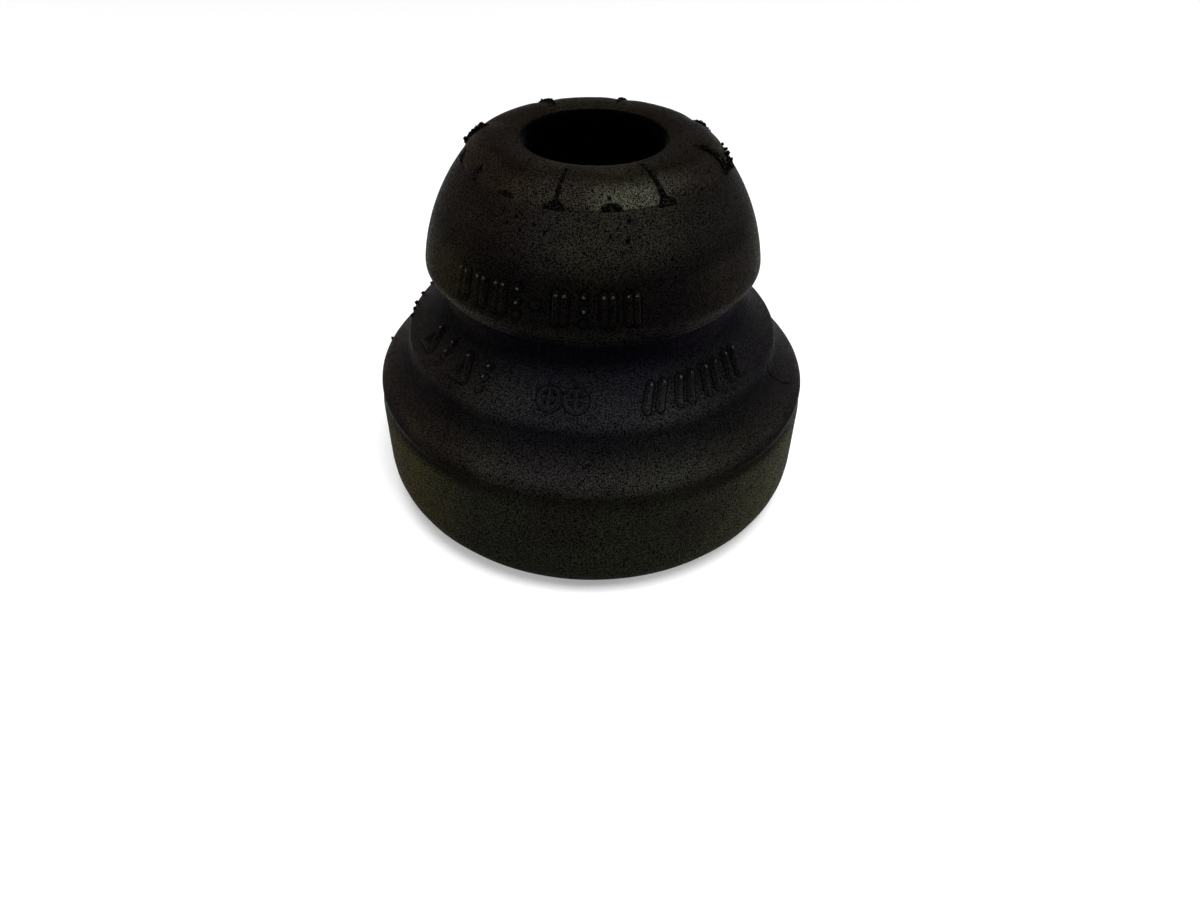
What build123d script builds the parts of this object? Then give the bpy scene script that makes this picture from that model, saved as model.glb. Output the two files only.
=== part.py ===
"""Bump stop: a one-piece cushion of moulded cellular rubber for a strut's piston rod.

The piece is a body of revolution about +Z. It stands on the flat seat of its wide end, at z = 0,
and the piston rod goes through its bore. From the seat upwards it has a plain base with a large
bottom rounding, a soft groove, a shoulder that sweeps in to a collar, a waist, a ledge, a lip
under a round bulb, and a domed crown round the bore's mouth. The mould parted at the crown's
edge, where its air vents left eight thin ribs, each with a torn foot, and eight torn stubs.
"""
import os
from math import radians, tan

from build123d import *

# Bore
bore_d = 19.0
bore_lead_in = 1.0

# Base, whose straight wall comes in by the draw just below the groove
base_d = 64.5
base_h = 18.9
base_round = 7.7
base_wall_h = 16.8
base_wall_round = 4.0
base_draw = 0.3

# Shoulder, which swells out above the groove and then sweeps in over a brow. Every slope is in
# degrees from the axis, and a sag is how far a slope is hollowed.
shoulder_d = 64.3
groove_h = 1.0
groove_round = 2.0
shoulder_round = 1.5
brow_d = 60.9
brow_h = 2.1
brow_bow = 0.15
shoulder_slope = 44.3
shoulder_sag = 0.13

# Collar, with the valley below it
collar_d = 54.4
collar_wall_h = 2.2
collar_slope = 49.0
collar_sag = 0.32
collar_round = 1.3
valley_round = 2.5

# Waist
waist_d = 41.6
waist_wall_h = 3.05
waist_round = 1.5

# Ledge, and the lip above it
ledge_d = 44.8
ledge_rise = 0.7
ledge_h = 1.0
ledge_round = 0.45
lip_d = 47.3
lip_rise = 0.6
lip_round = 0.8

# Bulb and crown; each bow is how far the arc stands out from its chord
bulb_h = 14.2
bulb_bow = 1.17
crown_d = 34.8
crown_h = 2.65
crown_bow = 1.22

# Vent ribs and stubs at the crown's edge
vent_count = 8
first_rib_angle = -105.5
vent_stand = 0.4
vent_root = 3.0
rib_w = 0.5
rib_inner_d = 22.0
foot_w = 2.6
foot_h = 1.3
stub_d = 2.4

# Radii, and heights from the seat upwards, worked out from the sizes above
bore_r = bore_d / 2
base_r = base_d / 2
base_top_r = base_r - base_draw
shoulder_r = shoulder_d / 2
brow_r = brow_d / 2
collar_r = collar_d / 2
waist_r = waist_d / 2
ledge_r = ledge_d / 2
lip_r = lip_d / 2
crown_r = crown_d / 2
shoulder_foot_z = base_h + groove_h
brow_z = shoulder_foot_z + brow_h
valley_z = brow_z + (brow_r - collar_r) / tan(radians(shoulder_slope))
collar_z = valley_z + collar_wall_h
waist_z = collar_z + (collar_r - waist_r) / tan(radians(collar_slope))
waist_top_z = waist_z + waist_wall_h
ledge_z = waist_top_z + ledge_rise
ledge_top_z = ledge_z + ledge_h
lip_z = ledge_top_z + lip_rise
crown_z = lip_z + bulb_h
top_z = crown_z + crown_h

# The body's section, from the bore's mouth down and round to the crown: each corner's radius and
# height, the radius of its rounding, and how far the run that leaves it bows outwards
corners = [
    ((bore_r, top_z), 0, 0),
    ((bore_r, 0), bore_lead_in, 0),
    ((base_r, 0), base_round, 0),
    ((base_r, base_wall_h), base_wall_round, 0),
    ((base_top_r, base_h), groove_round, 0),
    ((shoulder_r, shoulder_foot_z), shoulder_round, brow_bow),
    ((brow_r, brow_z), 0, -shoulder_sag),
    ((collar_r, valley_z), valley_round, 0),
    ((collar_r, collar_z), collar_round, -collar_sag),
    ((waist_r, waist_z), waist_round, 0),
    ((waist_r, waist_top_z), waist_round, 0),
    ((ledge_r, ledge_z), ledge_round, 0),
    ((ledge_r, ledge_top_z), ledge_round, 0),
    ((lip_r, lip_z), lip_round, bulb_bow),
    ((crown_r, crown_z), 0, crown_bow),
]


def fitted_radius(before: tuple, corner: tuple, after: tuple, wanted: float) -> float:
    """The wanted rounding, or the largest that uses half of each wall beside the corner."""
    wall_before = Vector(before) - Vector(corner)
    wall_after = Vector(after) - Vector(corner)
    room = min(wall_before.length, wall_after.length) / 2
    half_angle = radians(wall_before.get_angle(wall_after) / 2)
    return min(wanted, room * tan(half_angle))


# Vent marks of one pitch: a rib with its foot, and a stub half a pitch on. They reach from inside
# the crown to just past its edge, and stand a little proud of its dome.
with BuildPart() as vent_marks:
    with BuildSketch(Plane.YZ.offset(rib_inner_d / 2)):
        with Locations((0, crown_z)):
            Rectangle(rib_w, 2 * crown_h, align=(Align.CENTER, Align.MIN))
    extrude(amount=(crown_d - rib_inner_d) / 2 + vent_stand)
    with BuildSketch(Plane.YZ.offset(crown_r - vent_root)):
        with BuildLine():
            Polyline(
                (-foot_w / 2, crown_z),
                (foot_w / 2, crown_z),
                (0, crown_z + foot_h),
                close=True,
            )
        make_face()
    extrude(amount=vent_root + vent_stand)
    stub_plane = Plane.YZ.rotated((0, 0, 180 / vent_count))
    with BuildSketch(stub_plane.offset(crown_r - vent_root)):
        with Locations((0, crown_z)):
            Circle(stub_d / 2)
            Rectangle(stub_d, stub_d, align=(Align.CENTER, Align.MAX), mode=Mode.SUBTRACT)
    extrude(amount=vent_root + vent_stand)
    with BuildSketch(Plane.XZ):
        with BuildLine():
            SagittaArc((crown_r + vent_stand, crown_z), (bore_r, top_z + vent_stand / 2), -crown_bow)
            Polyline(
                (bore_r, top_z + vent_stand / 2),
                (bore_r, crown_z),
                (crown_r + vent_stand, crown_z),
            )
        make_face()
    revolve(axis=Axis.Z, mode=Mode.INTERSECT)

# Bump stop: half of its section turned about Z, with the vent marks round the crown's edge
with BuildPart() as bump_stop:
    with BuildSketch(Plane.XZ) as section:
        with BuildLine():
            for (start, _, bow), (end, _, _) in zip(corners, corners[1:] + corners[:1]):
                if bow == 0:
                    Line(start, end)
                else:
                    SagittaArc(start, end, -bow)
        make_face()
        for before, (place, rounding, _), after in zip(corners, corners[1:], corners[2:]):
            if rounding > 0:
                corner = section.vertices().sort_by_distance(place)[0]
                fillet(corner, fitted_radius(before[0], place, after[0], rounding))
    revolve(axis=Axis.Z)
    with PolarLocations(0, vent_count, start_angle=first_rib_angle):
        add(vent_marks.part)

os.makedirs("parts", exist_ok=True)
bump_stop.part.label = "bump_stop"
export_step(bump_stop.part, "parts/bump_stop.step")
print("solids", len(bump_stop.part.solids()), "volume", round(bump_stop.part.volume / 1000, 1), "cm3")
print("box", bump_stop.part.bounding_box())
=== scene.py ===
"""Bump stop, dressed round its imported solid.

The cushion was moulded in one piece of black cellular rubber, so one closed mesh stands for the
CAD solid: the same section turned about Z, with the crown's petals, the vents' scars, the raised
marks, the pores and a scratch worked into its surface. The rubber that was torn off at the vents
is a piece of its own round the crown's edge, and so are the loose crumbs of flash.

Sizes are in millimetres until they go into a mesh, which is in metres. An azimuth is in degrees
from the front (-Y), and grows towards the right (+X).
"""
from __future__ import annotations

import logging
from abc import ABC, abstractmethod
from collections.abc import Iterable
from dataclasses import dataclass, field
from enum import Enum
from functools import reduce
from math import acos, ceil, cos, degrees, hypot, pi, radians, sin, tan
from typing import Union

import bmesh
import bpy
import numpy as np
from mathutils import Matrix, Vector


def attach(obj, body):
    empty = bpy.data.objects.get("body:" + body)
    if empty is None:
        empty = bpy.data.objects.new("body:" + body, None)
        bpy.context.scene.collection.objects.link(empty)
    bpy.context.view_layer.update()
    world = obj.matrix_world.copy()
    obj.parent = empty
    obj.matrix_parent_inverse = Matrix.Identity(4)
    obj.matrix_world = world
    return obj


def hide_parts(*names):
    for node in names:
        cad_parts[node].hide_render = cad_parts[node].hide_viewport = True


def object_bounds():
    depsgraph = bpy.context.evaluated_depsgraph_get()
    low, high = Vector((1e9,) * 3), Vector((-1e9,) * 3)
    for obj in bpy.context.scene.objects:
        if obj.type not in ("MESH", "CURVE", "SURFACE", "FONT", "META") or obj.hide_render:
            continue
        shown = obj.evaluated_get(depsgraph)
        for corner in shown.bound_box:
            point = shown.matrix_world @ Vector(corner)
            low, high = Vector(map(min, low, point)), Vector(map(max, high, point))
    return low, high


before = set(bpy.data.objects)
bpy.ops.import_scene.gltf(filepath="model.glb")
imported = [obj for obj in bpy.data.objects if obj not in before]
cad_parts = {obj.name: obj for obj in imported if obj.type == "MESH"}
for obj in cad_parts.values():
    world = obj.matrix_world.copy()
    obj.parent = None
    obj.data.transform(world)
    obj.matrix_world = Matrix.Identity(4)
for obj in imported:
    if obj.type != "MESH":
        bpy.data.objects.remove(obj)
cad_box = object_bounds()

logging.basicConfig(level=logging.INFO, format="%(name)s: %(message)s")
log = logging.getLogger("bump_stop")

MM = 0.001
BODY = "root"
CAD_NODE = "bump_stop"

# The distance, in millimetres, of what is nowhere near
FAR = 99.0

# Vertices closer than this, in metres, become one
WELD = 1e-6

Pair = tuple[float, float]
Colour = tuple[float, float, float]
Socket = bpy.types.NodeSocket
Feed = Union[Socket, float, int, str, bool, tuple]


def opaque(colour: Colour) -> tuple[float, float, float, float]:
    """The colour with an alpha of 1, as a colour socket takes it."""
    return (*colour, 1.0)


def smooth_rise(values: np.ndarray, start: float, end: float) -> np.ndarray:
    """A soft step that goes from 0 at start to 1 at end.

    Args:
        values: The values to step over.
        start: Where the step is still 0; it may be above end.
        end: Where the step has become 1.

    Returns:
        The step's height at each value.
    """
    t = np.clip((values - start) / (end - start), 0, 1)
    return t * t * (3 - 2 * t)


def hump(distance: np.ndarray, half_width: float, edge: float) -> np.ndarray:
    """A flat-topped hump of height 1 with soft sides.

    Args:
        distance: Distance from the hump's middle line.
        half_width: Distance at which a side is half way down.
        edge: Width of a side.

    Returns:
        The hump's height at each distance.
    """
    return smooth_rise(distance, half_width + edge / 2, half_width - edge / 2)


class NodeSheet:
    """Adds nodes to a tree and joins them up."""

    def __init__(self, tree: bpy.types.NodeTree) -> None:
        """Starts on the tree that the nodes go into."""
        self.tree = tree

    def feed(self, socket: Socket, value: Feed) -> None:
        """Gives an input a link if the value is a socket, and a constant otherwise."""
        if isinstance(value, Socket):
            self.tree.links.new(value, socket)
        else:
            socket.default_value = value

    def add(
        self, kind: str, inputs: dict[str | int, Feed] | None = None, **settings: object
    ) -> bpy.types.Node:
        """Adds a node.

        Args:
            kind: The node's type.
            inputs: A socket or constant for each input, by the input's name or place.
            settings: The node's own properties.

        Returns:
            The new node.
        """
        node = self.tree.nodes.new(kind)
        for name, value in settings.items():
            setattr(node, name, value)
        for name, value in (inputs or {}).items():
            self.feed(node.inputs[name], value)
        return node

    def out(
        self, kind: str, inputs: dict[str | int, Feed] | None = None, **settings: object
    ) -> Socket:
        """Adds a node in the same way, and gives its first output."""
        return self.add(kind, inputs, **settings).outputs[0]

    def maths(self, operation: str, *values: Feed) -> Socket:
        """The result of one Math node."""
        return self.out("ShaderNodeMath", dict(enumerate(values)), operation=operation)

    def plus(self, *values: Feed) -> Socket:
        """The values added up, from the left."""
        return reduce(lambda total, value: self.maths("ADD", total, value), values)

    def minus(self, first: Feed, second: Feed) -> Socket:
        """The first value less the second."""
        return self.maths("SUBTRACT", first, second)

    def times(self, *values: Feed) -> Socket:
        """The values multiplied with each other, from the left."""
        return reduce(lambda product, value: self.maths("MULTIPLY", product, value), values)

    def over(self, first: Feed, second: Feed) -> Socket:
        """The first value divided by the second."""
        return self.maths("DIVIDE", first, second)

    def vector_maths(self, operation: str, *values: Feed) -> Socket:
        """The vector that one Vector Math node gives."""
        return self.out("ShaderNodeVectorMath", dict(enumerate(values)), operation=operation)

    def scaled(self, vector: Feed, factor: Feed) -> Socket:
        """The vector times a number."""
        inputs = {"Vector": vector, "Scale": factor}
        return self.out("ShaderNodeVectorMath", inputs, operation="SCALE")

    def split(self, vector: Feed) -> Iterable[Socket]:
        """The vector's x, y and z."""
        return self.add("ShaderNodeSeparateXYZ", {0: vector}).outputs

    def combine(self, x: Feed, y: Feed, z: Feed) -> Socket:
        """The vector of x, y and z."""
        return self.out("ShaderNodeCombineXYZ", {"X": x, "Y": y, "Z": z})

    def range(
        self, value: Feed, low: Feed, high: Feed, start: Feed = 0.0, end: Feed = 1.0
    ) -> Socket:
        """The value's place between low and high, put softly between start and end."""
        names = ("Value", "From Min", "From Max", "To Min", "To Max")
        inputs = dict(zip(names, (value, low, high, start, end)))
        return self.out("ShaderNodeMapRange", inputs, interpolation_type="SMOOTHSTEP")

    def mix(self, factor: Feed, first: Feed, second: Feed) -> Socket:
        """A number between two numbers."""
        return self.out("ShaderNodeMix", {0: factor, 2: first, 3: second}, data_type="FLOAT")

    def mix_colour(self, factor: Feed, first: Feed, second: Feed) -> Socket:
        """A colour between two colours."""
        inputs = {0: factor, 6: first, 7: second}
        return self.add("ShaderNodeMix", inputs, data_type="RGBA").outputs[2]

    def ramp(self, value: Feed, stops: Iterable[tuple[float, Colour]]) -> Socket:
        """The colour at a value from 0 to 1 between stops, each of a place and a colour."""
        node = self.add("ShaderNodeValToRGB", {0: value})
        elements = node.color_ramp.elements
        for index, (place, colour) in enumerate(stops):
            stop = elements[index] if index < len(elements) else elements.new(place)
            stop.position, stop.color = place, opaque(colour)
        return node.outputs[0]

    def noise(self, vector: Feed, scale: Feed, detail: float, rough: float = 0.5) -> Socket:
        """The grey value of a Noise Texture."""
        inputs = {"Vector": vector, "Scale": scale, "Detail": detail, "Roughness": rough}
        return self.out("ShaderNodeTexNoise", inputs)

    def attribute(self, name: str, kind: str = "FLOAT") -> Socket:
        """A named attribute of the geometry."""
        return self.out("GeometryNodeInputNamedAttribute", {"Name": name}, data_type=kind)


def socket_kind(value: object) -> str:
    """The kind of tree input that takes a value."""
    if isinstance(value, bpy.types.Material):
        return "NodeSocketMaterial"
    return "NodeSocketInt" if isinstance(value, int) else "NodeSocketFloat"


def new_geometry_tree(
    name: str, inputs: dict[str, object]
) -> tuple[NodeSheet, bpy.types.bpy_prop_collection]:
    """Starts a Geometry Nodes tree that takes a geometry and the named inputs.

    Args:
        name: The tree's name.
        inputs: Its inputs besides the geometry, each with its value.

    Returns:
        The sheet to add nodes with, and the inputs' sockets by name.
    """
    tree = bpy.data.node_groups.new(name, "GeometryNodeTree")
    tree.interface.new_socket("Geometry", in_out="INPUT", socket_type="NodeSocketGeometry")
    for key, value in inputs.items():
        tree.interface.new_socket(key, in_out="INPUT", socket_type=socket_kind(value))
    tree.interface.new_socket("Geometry", in_out="OUTPUT", socket_type="NodeSocketGeometry")
    sheet = NodeSheet(tree)
    return sheet, sheet.add("NodeGroupInput").outputs


def end_geometry_tree(sheet: NodeSheet, geometry: Socket, material: Socket) -> None:
    """Ends a tree with realized instances, smooth shading and its material.

    Args:
        sheet: The tree's sheet.
        geometry: What the tree has made.
        material: The tree's material input.
    """
    real = sheet.out("GeometryNodeRealizeInstances", {"Geometry": geometry})
    soft = sheet.out("GeometryNodeSetShadeSmooth", {0: real})
    dressed = sheet.out("GeometryNodeSetMaterial", {"Geometry": soft, "Material": material})
    sheet.add("NodeGroupOutput", {0: dressed})


def grow(
    name: str, start: bpy.types.Mesh, tree: bpy.types.NodeTree, inputs: dict[str, object]
) -> bpy.types.Object:
    """Runs a Geometry Nodes tree on a mesh and keeps the result as a plain object.

    Args:
        name: The new object's name.
        start: The mesh that goes into the tree.
        tree: The tree.
        inputs: The values of its named inputs.

    Returns:
        An object at the origin with no modifier, its faces turned outwards.
    """
    seedling = bpy.data.objects.new(f"{name}_start", start)
    bpy.context.scene.collection.objects.link(seedling)
    modifier = seedling.modifiers.new(tree.name, "NODES")
    modifier.node_group = tree
    identifiers = {
        item.name: item.identifier
        for item in tree.interface.items_tree
        if item.item_type == "SOCKET" and item.in_out == "INPUT"
    }
    for key, value in inputs.items():
        modifier[identifiers[key]] = value
    graph = bpy.context.evaluated_depsgraph_get()
    mesh = bpy.data.meshes.new_from_object(seedling.evaluated_get(graph))
    mesh.name = name
    seedling.modifiers.remove(modifier)
    bpy.data.objects.remove(seedling)
    bpy.data.meshes.remove(start)
    turn_outwards(mesh)
    grown = bpy.data.objects.new(name, mesh)
    bpy.context.scene.collection.objects.link(grown)
    return grown


def points_mesh(
    name: str,
    places: list[tuple[float, float, float]],
    values: dict[str, list[float]] | None = None,
) -> bpy.types.Mesh:
    """A mesh of loose points, which carries a number at each point for each named value.

    Args:
        name: The mesh's name.
        places: The points, in metres.
        values: Lists of numbers, one for each point, by attribute name.

    Returns:
        The mesh.
    """
    mesh = bpy.data.meshes.new(name)
    mesh.from_pydata(places, [], [])
    for key, numbers in (values or {}).items():
        attribute = mesh.attributes.new(key, "FLOAT", "POINT")
        attribute.data.foreach_set("value", numbers)
    return mesh


def vertex_places(mesh: bpy.types.Mesh) -> np.ndarray:
    """The mesh's vertices as an array of n x 3 metres."""
    flat = np.empty(len(mesh.vertices) * 3)
    mesh.vertices.foreach_get("co", flat)
    return flat.reshape(-1, 3)


def turn_outwards(mesh: bpy.types.Mesh) -> None:
    """Turns every face's outer side away from the solid that the closed mesh bounds."""
    sculpt = bmesh.new()
    sculpt.from_mesh(mesh)
    if sculpt.calc_volume(signed=True) < 0:
        bmesh.ops.reverse_faces(sculpt, faces=sculpt.faces[:])
    sculpt.to_mesh(mesh)
    sculpt.free()


# The body's section


@dataclass(frozen=True)
class Corner:
    """A corner of the section, and the run that leaves it for the next corner.

    Attributes:
        r: Distance from the axis.
        z: Height above the seat.
        rounding: Radius of the corner's rounding.
        step: Largest distance between rows on the run.
        bow: How far the run stands out, to the right of its own direction.
        fine_start: Whether extra rows stand close to the run's start.
        fine_end: Whether extra rows stand close to the run's end.
    """

    r: float
    z: float
    rounding: float
    step: float
    bow: float = 0.0
    fine_start: bool = False
    fine_end: bool = False


# How far the extra rows stand from the end of a run, and the least gap between two rows
FINE_ROWS = (0.05, 0.11, 0.18, 0.27, 0.4)
ROW_GAP = 0.03

# The distance between rows round a corner: this much, and a share of the rounding's radius
ROUNDING_STEP = 0.12
ROUNDING_GAIN = 0.16

# A run grows by about this much times the square of its bow's share of its chord
BOW_STRETCH = 2.7

# The least turn at a corner, in radians
LEAST_TURN = 1e-3


@dataclass(frozen=True)
class Run:
    """The straight or bowed line between two corners of the section."""

    start: Vector
    end: Vector
    bow: float

    def place(self, share: float) -> Vector:
        """The point at a share of the run's length from its start."""
        chord = self.end - self.start
        if self.bow == 0:
            return self.start + chord * share
        along = chord.normalized()
        outward = Vector((along.y, -along.x))
        half = chord.length / 2
        radius = (half**2 + self.bow**2) / (2 * self.bow)
        centre = (self.start + self.end) / 2 - outward * (radius - self.bow)
        angle = (2 * share - 1) * np.arcsin(half / radius)
        return centre + (outward * cos(angle) + along * sin(angle)) * radius

    def direction(self, share: float) -> Vector:
        """The run's direction near a share of its length."""
        nudge = 1e-4
        low, high = max(share - nudge, 0), min(share + nudge, 1)
        return (self.place(high) - self.place(low)).normalized()

    def length(self) -> float:
        """The run's length, near enough for spacing rows."""
        chord = (self.end - self.start).length
        return chord * (1 + BOW_STRETCH * (self.bow / chord) ** 2)


@dataclass(frozen=True)
class BodySizes:
    """The cushion's sizes in millimetres and degrees.

    They are the same as in the part's source, but for the crown, which is a little lower at the
    bore's mouth and rounded at both of its edges.
    """

    bore_d: float = 19.0
    bore_lead_in: float = 1.0
    mouth_round: float = 0.45
    base_d: float = 64.5
    base_h: float = 18.9
    base_round: float = 7.7
    base_wall_h: float = 16.8
    base_wall_round: float = 4.0
    base_draw: float = 0.3
    shoulder_d: float = 64.3
    groove_h: float = 1.0
    groove_round: float = 2.0
    shoulder_round: float = 1.5
    brow_d: float = 60.9
    brow_h: float = 2.1
    brow_bow: float = 0.15
    brow_round: float = 0.3
    shoulder_slope: float = 44.3
    shoulder_sag: float = 0.13
    collar_d: float = 54.4
    collar_wall_h: float = 2.2
    collar_slope: float = 49.0
    collar_sag: float = 0.32
    collar_round: float = 1.3
    valley_round: float = 2.5
    waist_d: float = 41.6
    waist_wall_h: float = 3.05
    waist_round: float = 1.5
    ledge_d: float = 44.8
    ledge_rise: float = 0.7
    ledge_h: float = 1.0
    ledge_round: float = 0.45
    lip_d: float = 47.3
    lip_rise: float = 0.6
    lip_round: float = 0.8
    bulb_h: float = 14.2
    bulb_bow: float = 1.17
    crown_d: float = 34.8
    crown_h: float = 2.25
    crown_bow: float = 1.39
    crown_edge_round: float = 0.12

    @property
    def brow_z(self) -> float:
        """Height of the top of the shoulder's brow."""
        return self.base_h + self.groove_h + self.brow_h

    @property
    def valley_z(self) -> float:
        """Height of the valley under the collar."""
        slope = tan(radians(self.shoulder_slope))
        return self.brow_z + (self.brow_d - self.collar_d) / 2 / slope

    @property
    def collar_z(self) -> float:
        """Height of the collar's corner."""
        return self.valley_z + self.collar_wall_h

    @property
    def waist_z(self) -> float:
        """Height of the waist's lower end."""
        slope = tan(radians(self.collar_slope))
        return self.collar_z + (self.collar_d - self.waist_d) / 2 / slope

    @property
    def ledge_z(self) -> float:
        """Height of the ledge's lower edge."""
        return self.waist_z + self.waist_wall_h + self.ledge_rise

    @property
    def lip_z(self) -> float:
        """Height of the lip."""
        return self.ledge_z + self.ledge_h + self.lip_rise

    @property
    def crown_z(self) -> float:
        """Height of the crown's edge."""
        return self.lip_z + self.bulb_h

    @property
    def top_z(self) -> float:
        """Height of the bore's mouth."""
        return self.crown_z + self.crown_h

    def corners(self) -> list[Corner]:
        """The section's corners from the bore's mouth down the bore and up the outside."""
        bore_r, base_r, brow_r = self.bore_d / 2, self.base_d / 2, self.brow_d / 2
        shoulder_r, collar_r = self.shoulder_d / 2, self.collar_d / 2
        waist_r, ledge_r, lip_r = self.waist_d / 2, self.ledge_d / 2, self.lip_d / 2
        shoulder_foot_z = self.base_h + self.groove_h
        ledge_z, lip_z = self.ledge_z, self.lip_z
        waist_top_z = self.waist_z + self.waist_wall_h
        return [
            Corner(bore_r, self.top_z, self.mouth_round, 9.0, fine_start=True),
            Corner(bore_r, 0, self.bore_lead_in, 2.6),
            Corner(base_r, 0, self.base_round, 1.6),
            Corner(base_r, self.base_wall_h, self.base_wall_round, 0.5),
            Corner(base_r - self.base_draw, self.base_h, self.groove_round, 0.5),
            Corner(shoulder_r, shoulder_foot_z, self.shoulder_round, 0.5, self.brow_bow),
            Corner(brow_r, self.brow_z, self.brow_round, 0.7, -self.shoulder_sag),
            Corner(collar_r, self.valley_z, self.valley_round, 1.0),
            Corner(collar_r, self.collar_z, self.collar_round, 0.5, -self.collar_sag),
            Corner(waist_r, self.waist_z, self.waist_round, 0.8),
            Corner(waist_r, waist_top_z, self.waist_round, 0.5),
            Corner(ledge_r, ledge_z, self.ledge_round, 0.5),
            Corner(ledge_r, ledge_z + self.ledge_h, self.ledge_round, 0.3),
            Corner(lip_r, lip_z, self.lip_round, 0.5, self.bulb_bow, fine_end=True),
            Corner(
                self.crown_d / 2,
                self.crown_z,
                self.crown_edge_round,
                0.36,
                self.crown_bow,
                fine_start=True,
            ),
        ]

    def dome(self) -> tuple[float, float, float]:
        """The crown dome's arc: its centre's distance from the axis, its height, its radius."""
        bore_r, crown_r = self.bore_d / 2, self.crown_d / 2
        half = hypot(crown_r - bore_r, self.crown_h) / 2
        radius = (half**2 + self.crown_bow**2) / (2 * self.crown_bow)
        along = Vector((bore_r - crown_r, self.crown_h)).normalized()
        outward = Vector((along.y, -along.x))
        middle = Vector(((bore_r + crown_r) / 2, (self.crown_z + self.top_z) / 2))
        centre = middle - outward * (radius - self.crown_bow)
        return centre.x, centre.y, radius


def row_shares(length: float, trim_start: float, trim_end: float, corner: Corner) -> list[float]:
    """Where the rows of a run stand, as shares of its length.

    Args:
        length: The run's length.
        trim_start: How much of it the rounding at its start takes.
        trim_end: How much of it the rounding at its end takes.
        corner: The corner that the run leaves, which holds its spacing.

    Returns:
        The shares, rising, both trimmed ends among them.
    """
    first, last = trim_start, length - trim_end
    count = max(1, ceil((last - first) / corner.step))
    marks = set(np.linspace(first, last, count + 1))
    if corner.fine_start:
        marks |= {first + offset for offset in FINE_ROWS}
    if corner.fine_end:
        marks |= {last - offset for offset in FINE_ROWS}
    kept: list[float] = []
    for mark in sorted(marks):
        if not kept or mark - kept[-1] > ROW_GAP:
            kept.append(mark)
    return [mark / length for mark in kept]


def section_rows(corners: list[Corner]) -> list[Pair]:
    """The section as a closed ring of points, with every rounding in place.

    Args:
        corners: The section's corners in order.

    Returns:
        Each row's distance from the axis and height.
    """
    count = len(corners)
    runs = [
        Run(Vector((a.r, a.z)), Vector((b.r, b.z)), a.bow)
        for a, b in zip(corners, corners[1:] + corners[:1])
    ]
    lengths = [run.length() for run in runs]
    turns, setbacks = [], []
    for i, corner in enumerate(corners):
        arriving, leaving = runs[i - 1].direction(1), runs[i].direction(0)
        turn = max(acos(max(-1, min(1, arriving.dot(leaving)))), LEAST_TURN)
        room = min(lengths[i - 1], lengths[i]) / 2
        turns.append(turn)
        setbacks.append(min(corner.rounding * tan(turn / 2), room))
    rows: list[Pair] = []
    for i, corner in enumerate(corners):
        before, after = runs[i - 1], runs[i]
        setback, turn = setbacks[i], turns[i]
        arriving = before.direction(1)
        leaving = after.direction(0)
        radius = setback / tan(turn / 2)
        side = (leaving - arriving * arriving.dot(leaving)).normalized()
        begin = before.place(1 - setback / lengths[i - 1])
        pieces = max(2, ceil(turn * radius / (ROUNDING_STEP + ROUNDING_GAIN * radius)))
        for k in range(pieces):
            angle = turn * k / pieces
            place = begin + (arriving * sin(angle) + side * (1 - cos(angle))) * radius
            rows.append((place.x, place.y))
        following = setbacks[(i + 1) % count]
        shares = row_shares(lengths[i], setback, following, corner)
        rows += [tuple(after.place(share)) for share in shares[:-1]]
    return rows


# Features that are worked into the body's surface. The marks, the pores and the scratch are on
# its outside, which is farther from the axis than this.
OUTSIDE = 15.0


@dataclass
class SurfacePlaces:
    """Points of the body's surface: azimuth in degrees, distance from the axis and height in mm."""

    azimuth: np.ndarray
    radius: np.ndarray
    height: np.ndarray

    @classmethod
    def of(cls, places: np.ndarray) -> SurfacePlaces:
        """The places of points given in metres."""
        x, y, z = (places / MM).T
        return cls(np.degrees(np.arctan2(x, -y)), np.hypot(x, y), z)

    def around(self, azimuth: float) -> np.ndarray:
        """How far each point is round the surface from an azimuth, in mm, positive to the right."""
        turn = (self.azimuth - azimuth + 180) % 360 - 180
        return np.radians(turn) * self.radius


class SurfaceFeature(ABC):
    """Something that lifts or lowers the body's surface.

    Attributes:
        levels: How often the mesh is divided near it.
    """

    levels: int = 1

    def distance(self, places: SurfacePlaces) -> np.ndarray:
        """How far each point is from the feature, in mm; the mesh is refined near it."""
        return np.full(len(places.height), FAR)

    @abstractmethod
    def lift(self, places: SurfacePlaces) -> np.ndarray:
        """How far each point moves outwards along the surface's normal, in mm."""

    def shade(self, places: SurfacePlaces) -> np.ndarray:
        """How much painted shade darkens the skin there, down to -1, or painted light brightens it,
        up to 1.
        """
        return np.zeros(len(places.height))


class MarkShape(Enum):
    """Plain shapes that stand for the raised marks."""

    BAR_PAIR = "two upright bars"
    PIP_STACK = "three pips above each other"
    PIP = "a single pip"
    TRIANGLE = "an outlined triangle"
    DIAL = "a ring with a pip and four ticks"
    HATCH = "two slanted bars"


Stroke = tuple[float, float, float, float]


def ring_strokes(radius: float, count: int) -> list[Stroke]:
    """Strokes that go round a circle."""
    angles = np.linspace(0, 2 * pi, count + 1)
    ring = [(radius * cos(a), radius * sin(a)) for a in angles]
    return [(*a, *b) for a, b in zip(ring, ring[1:])]


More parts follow.
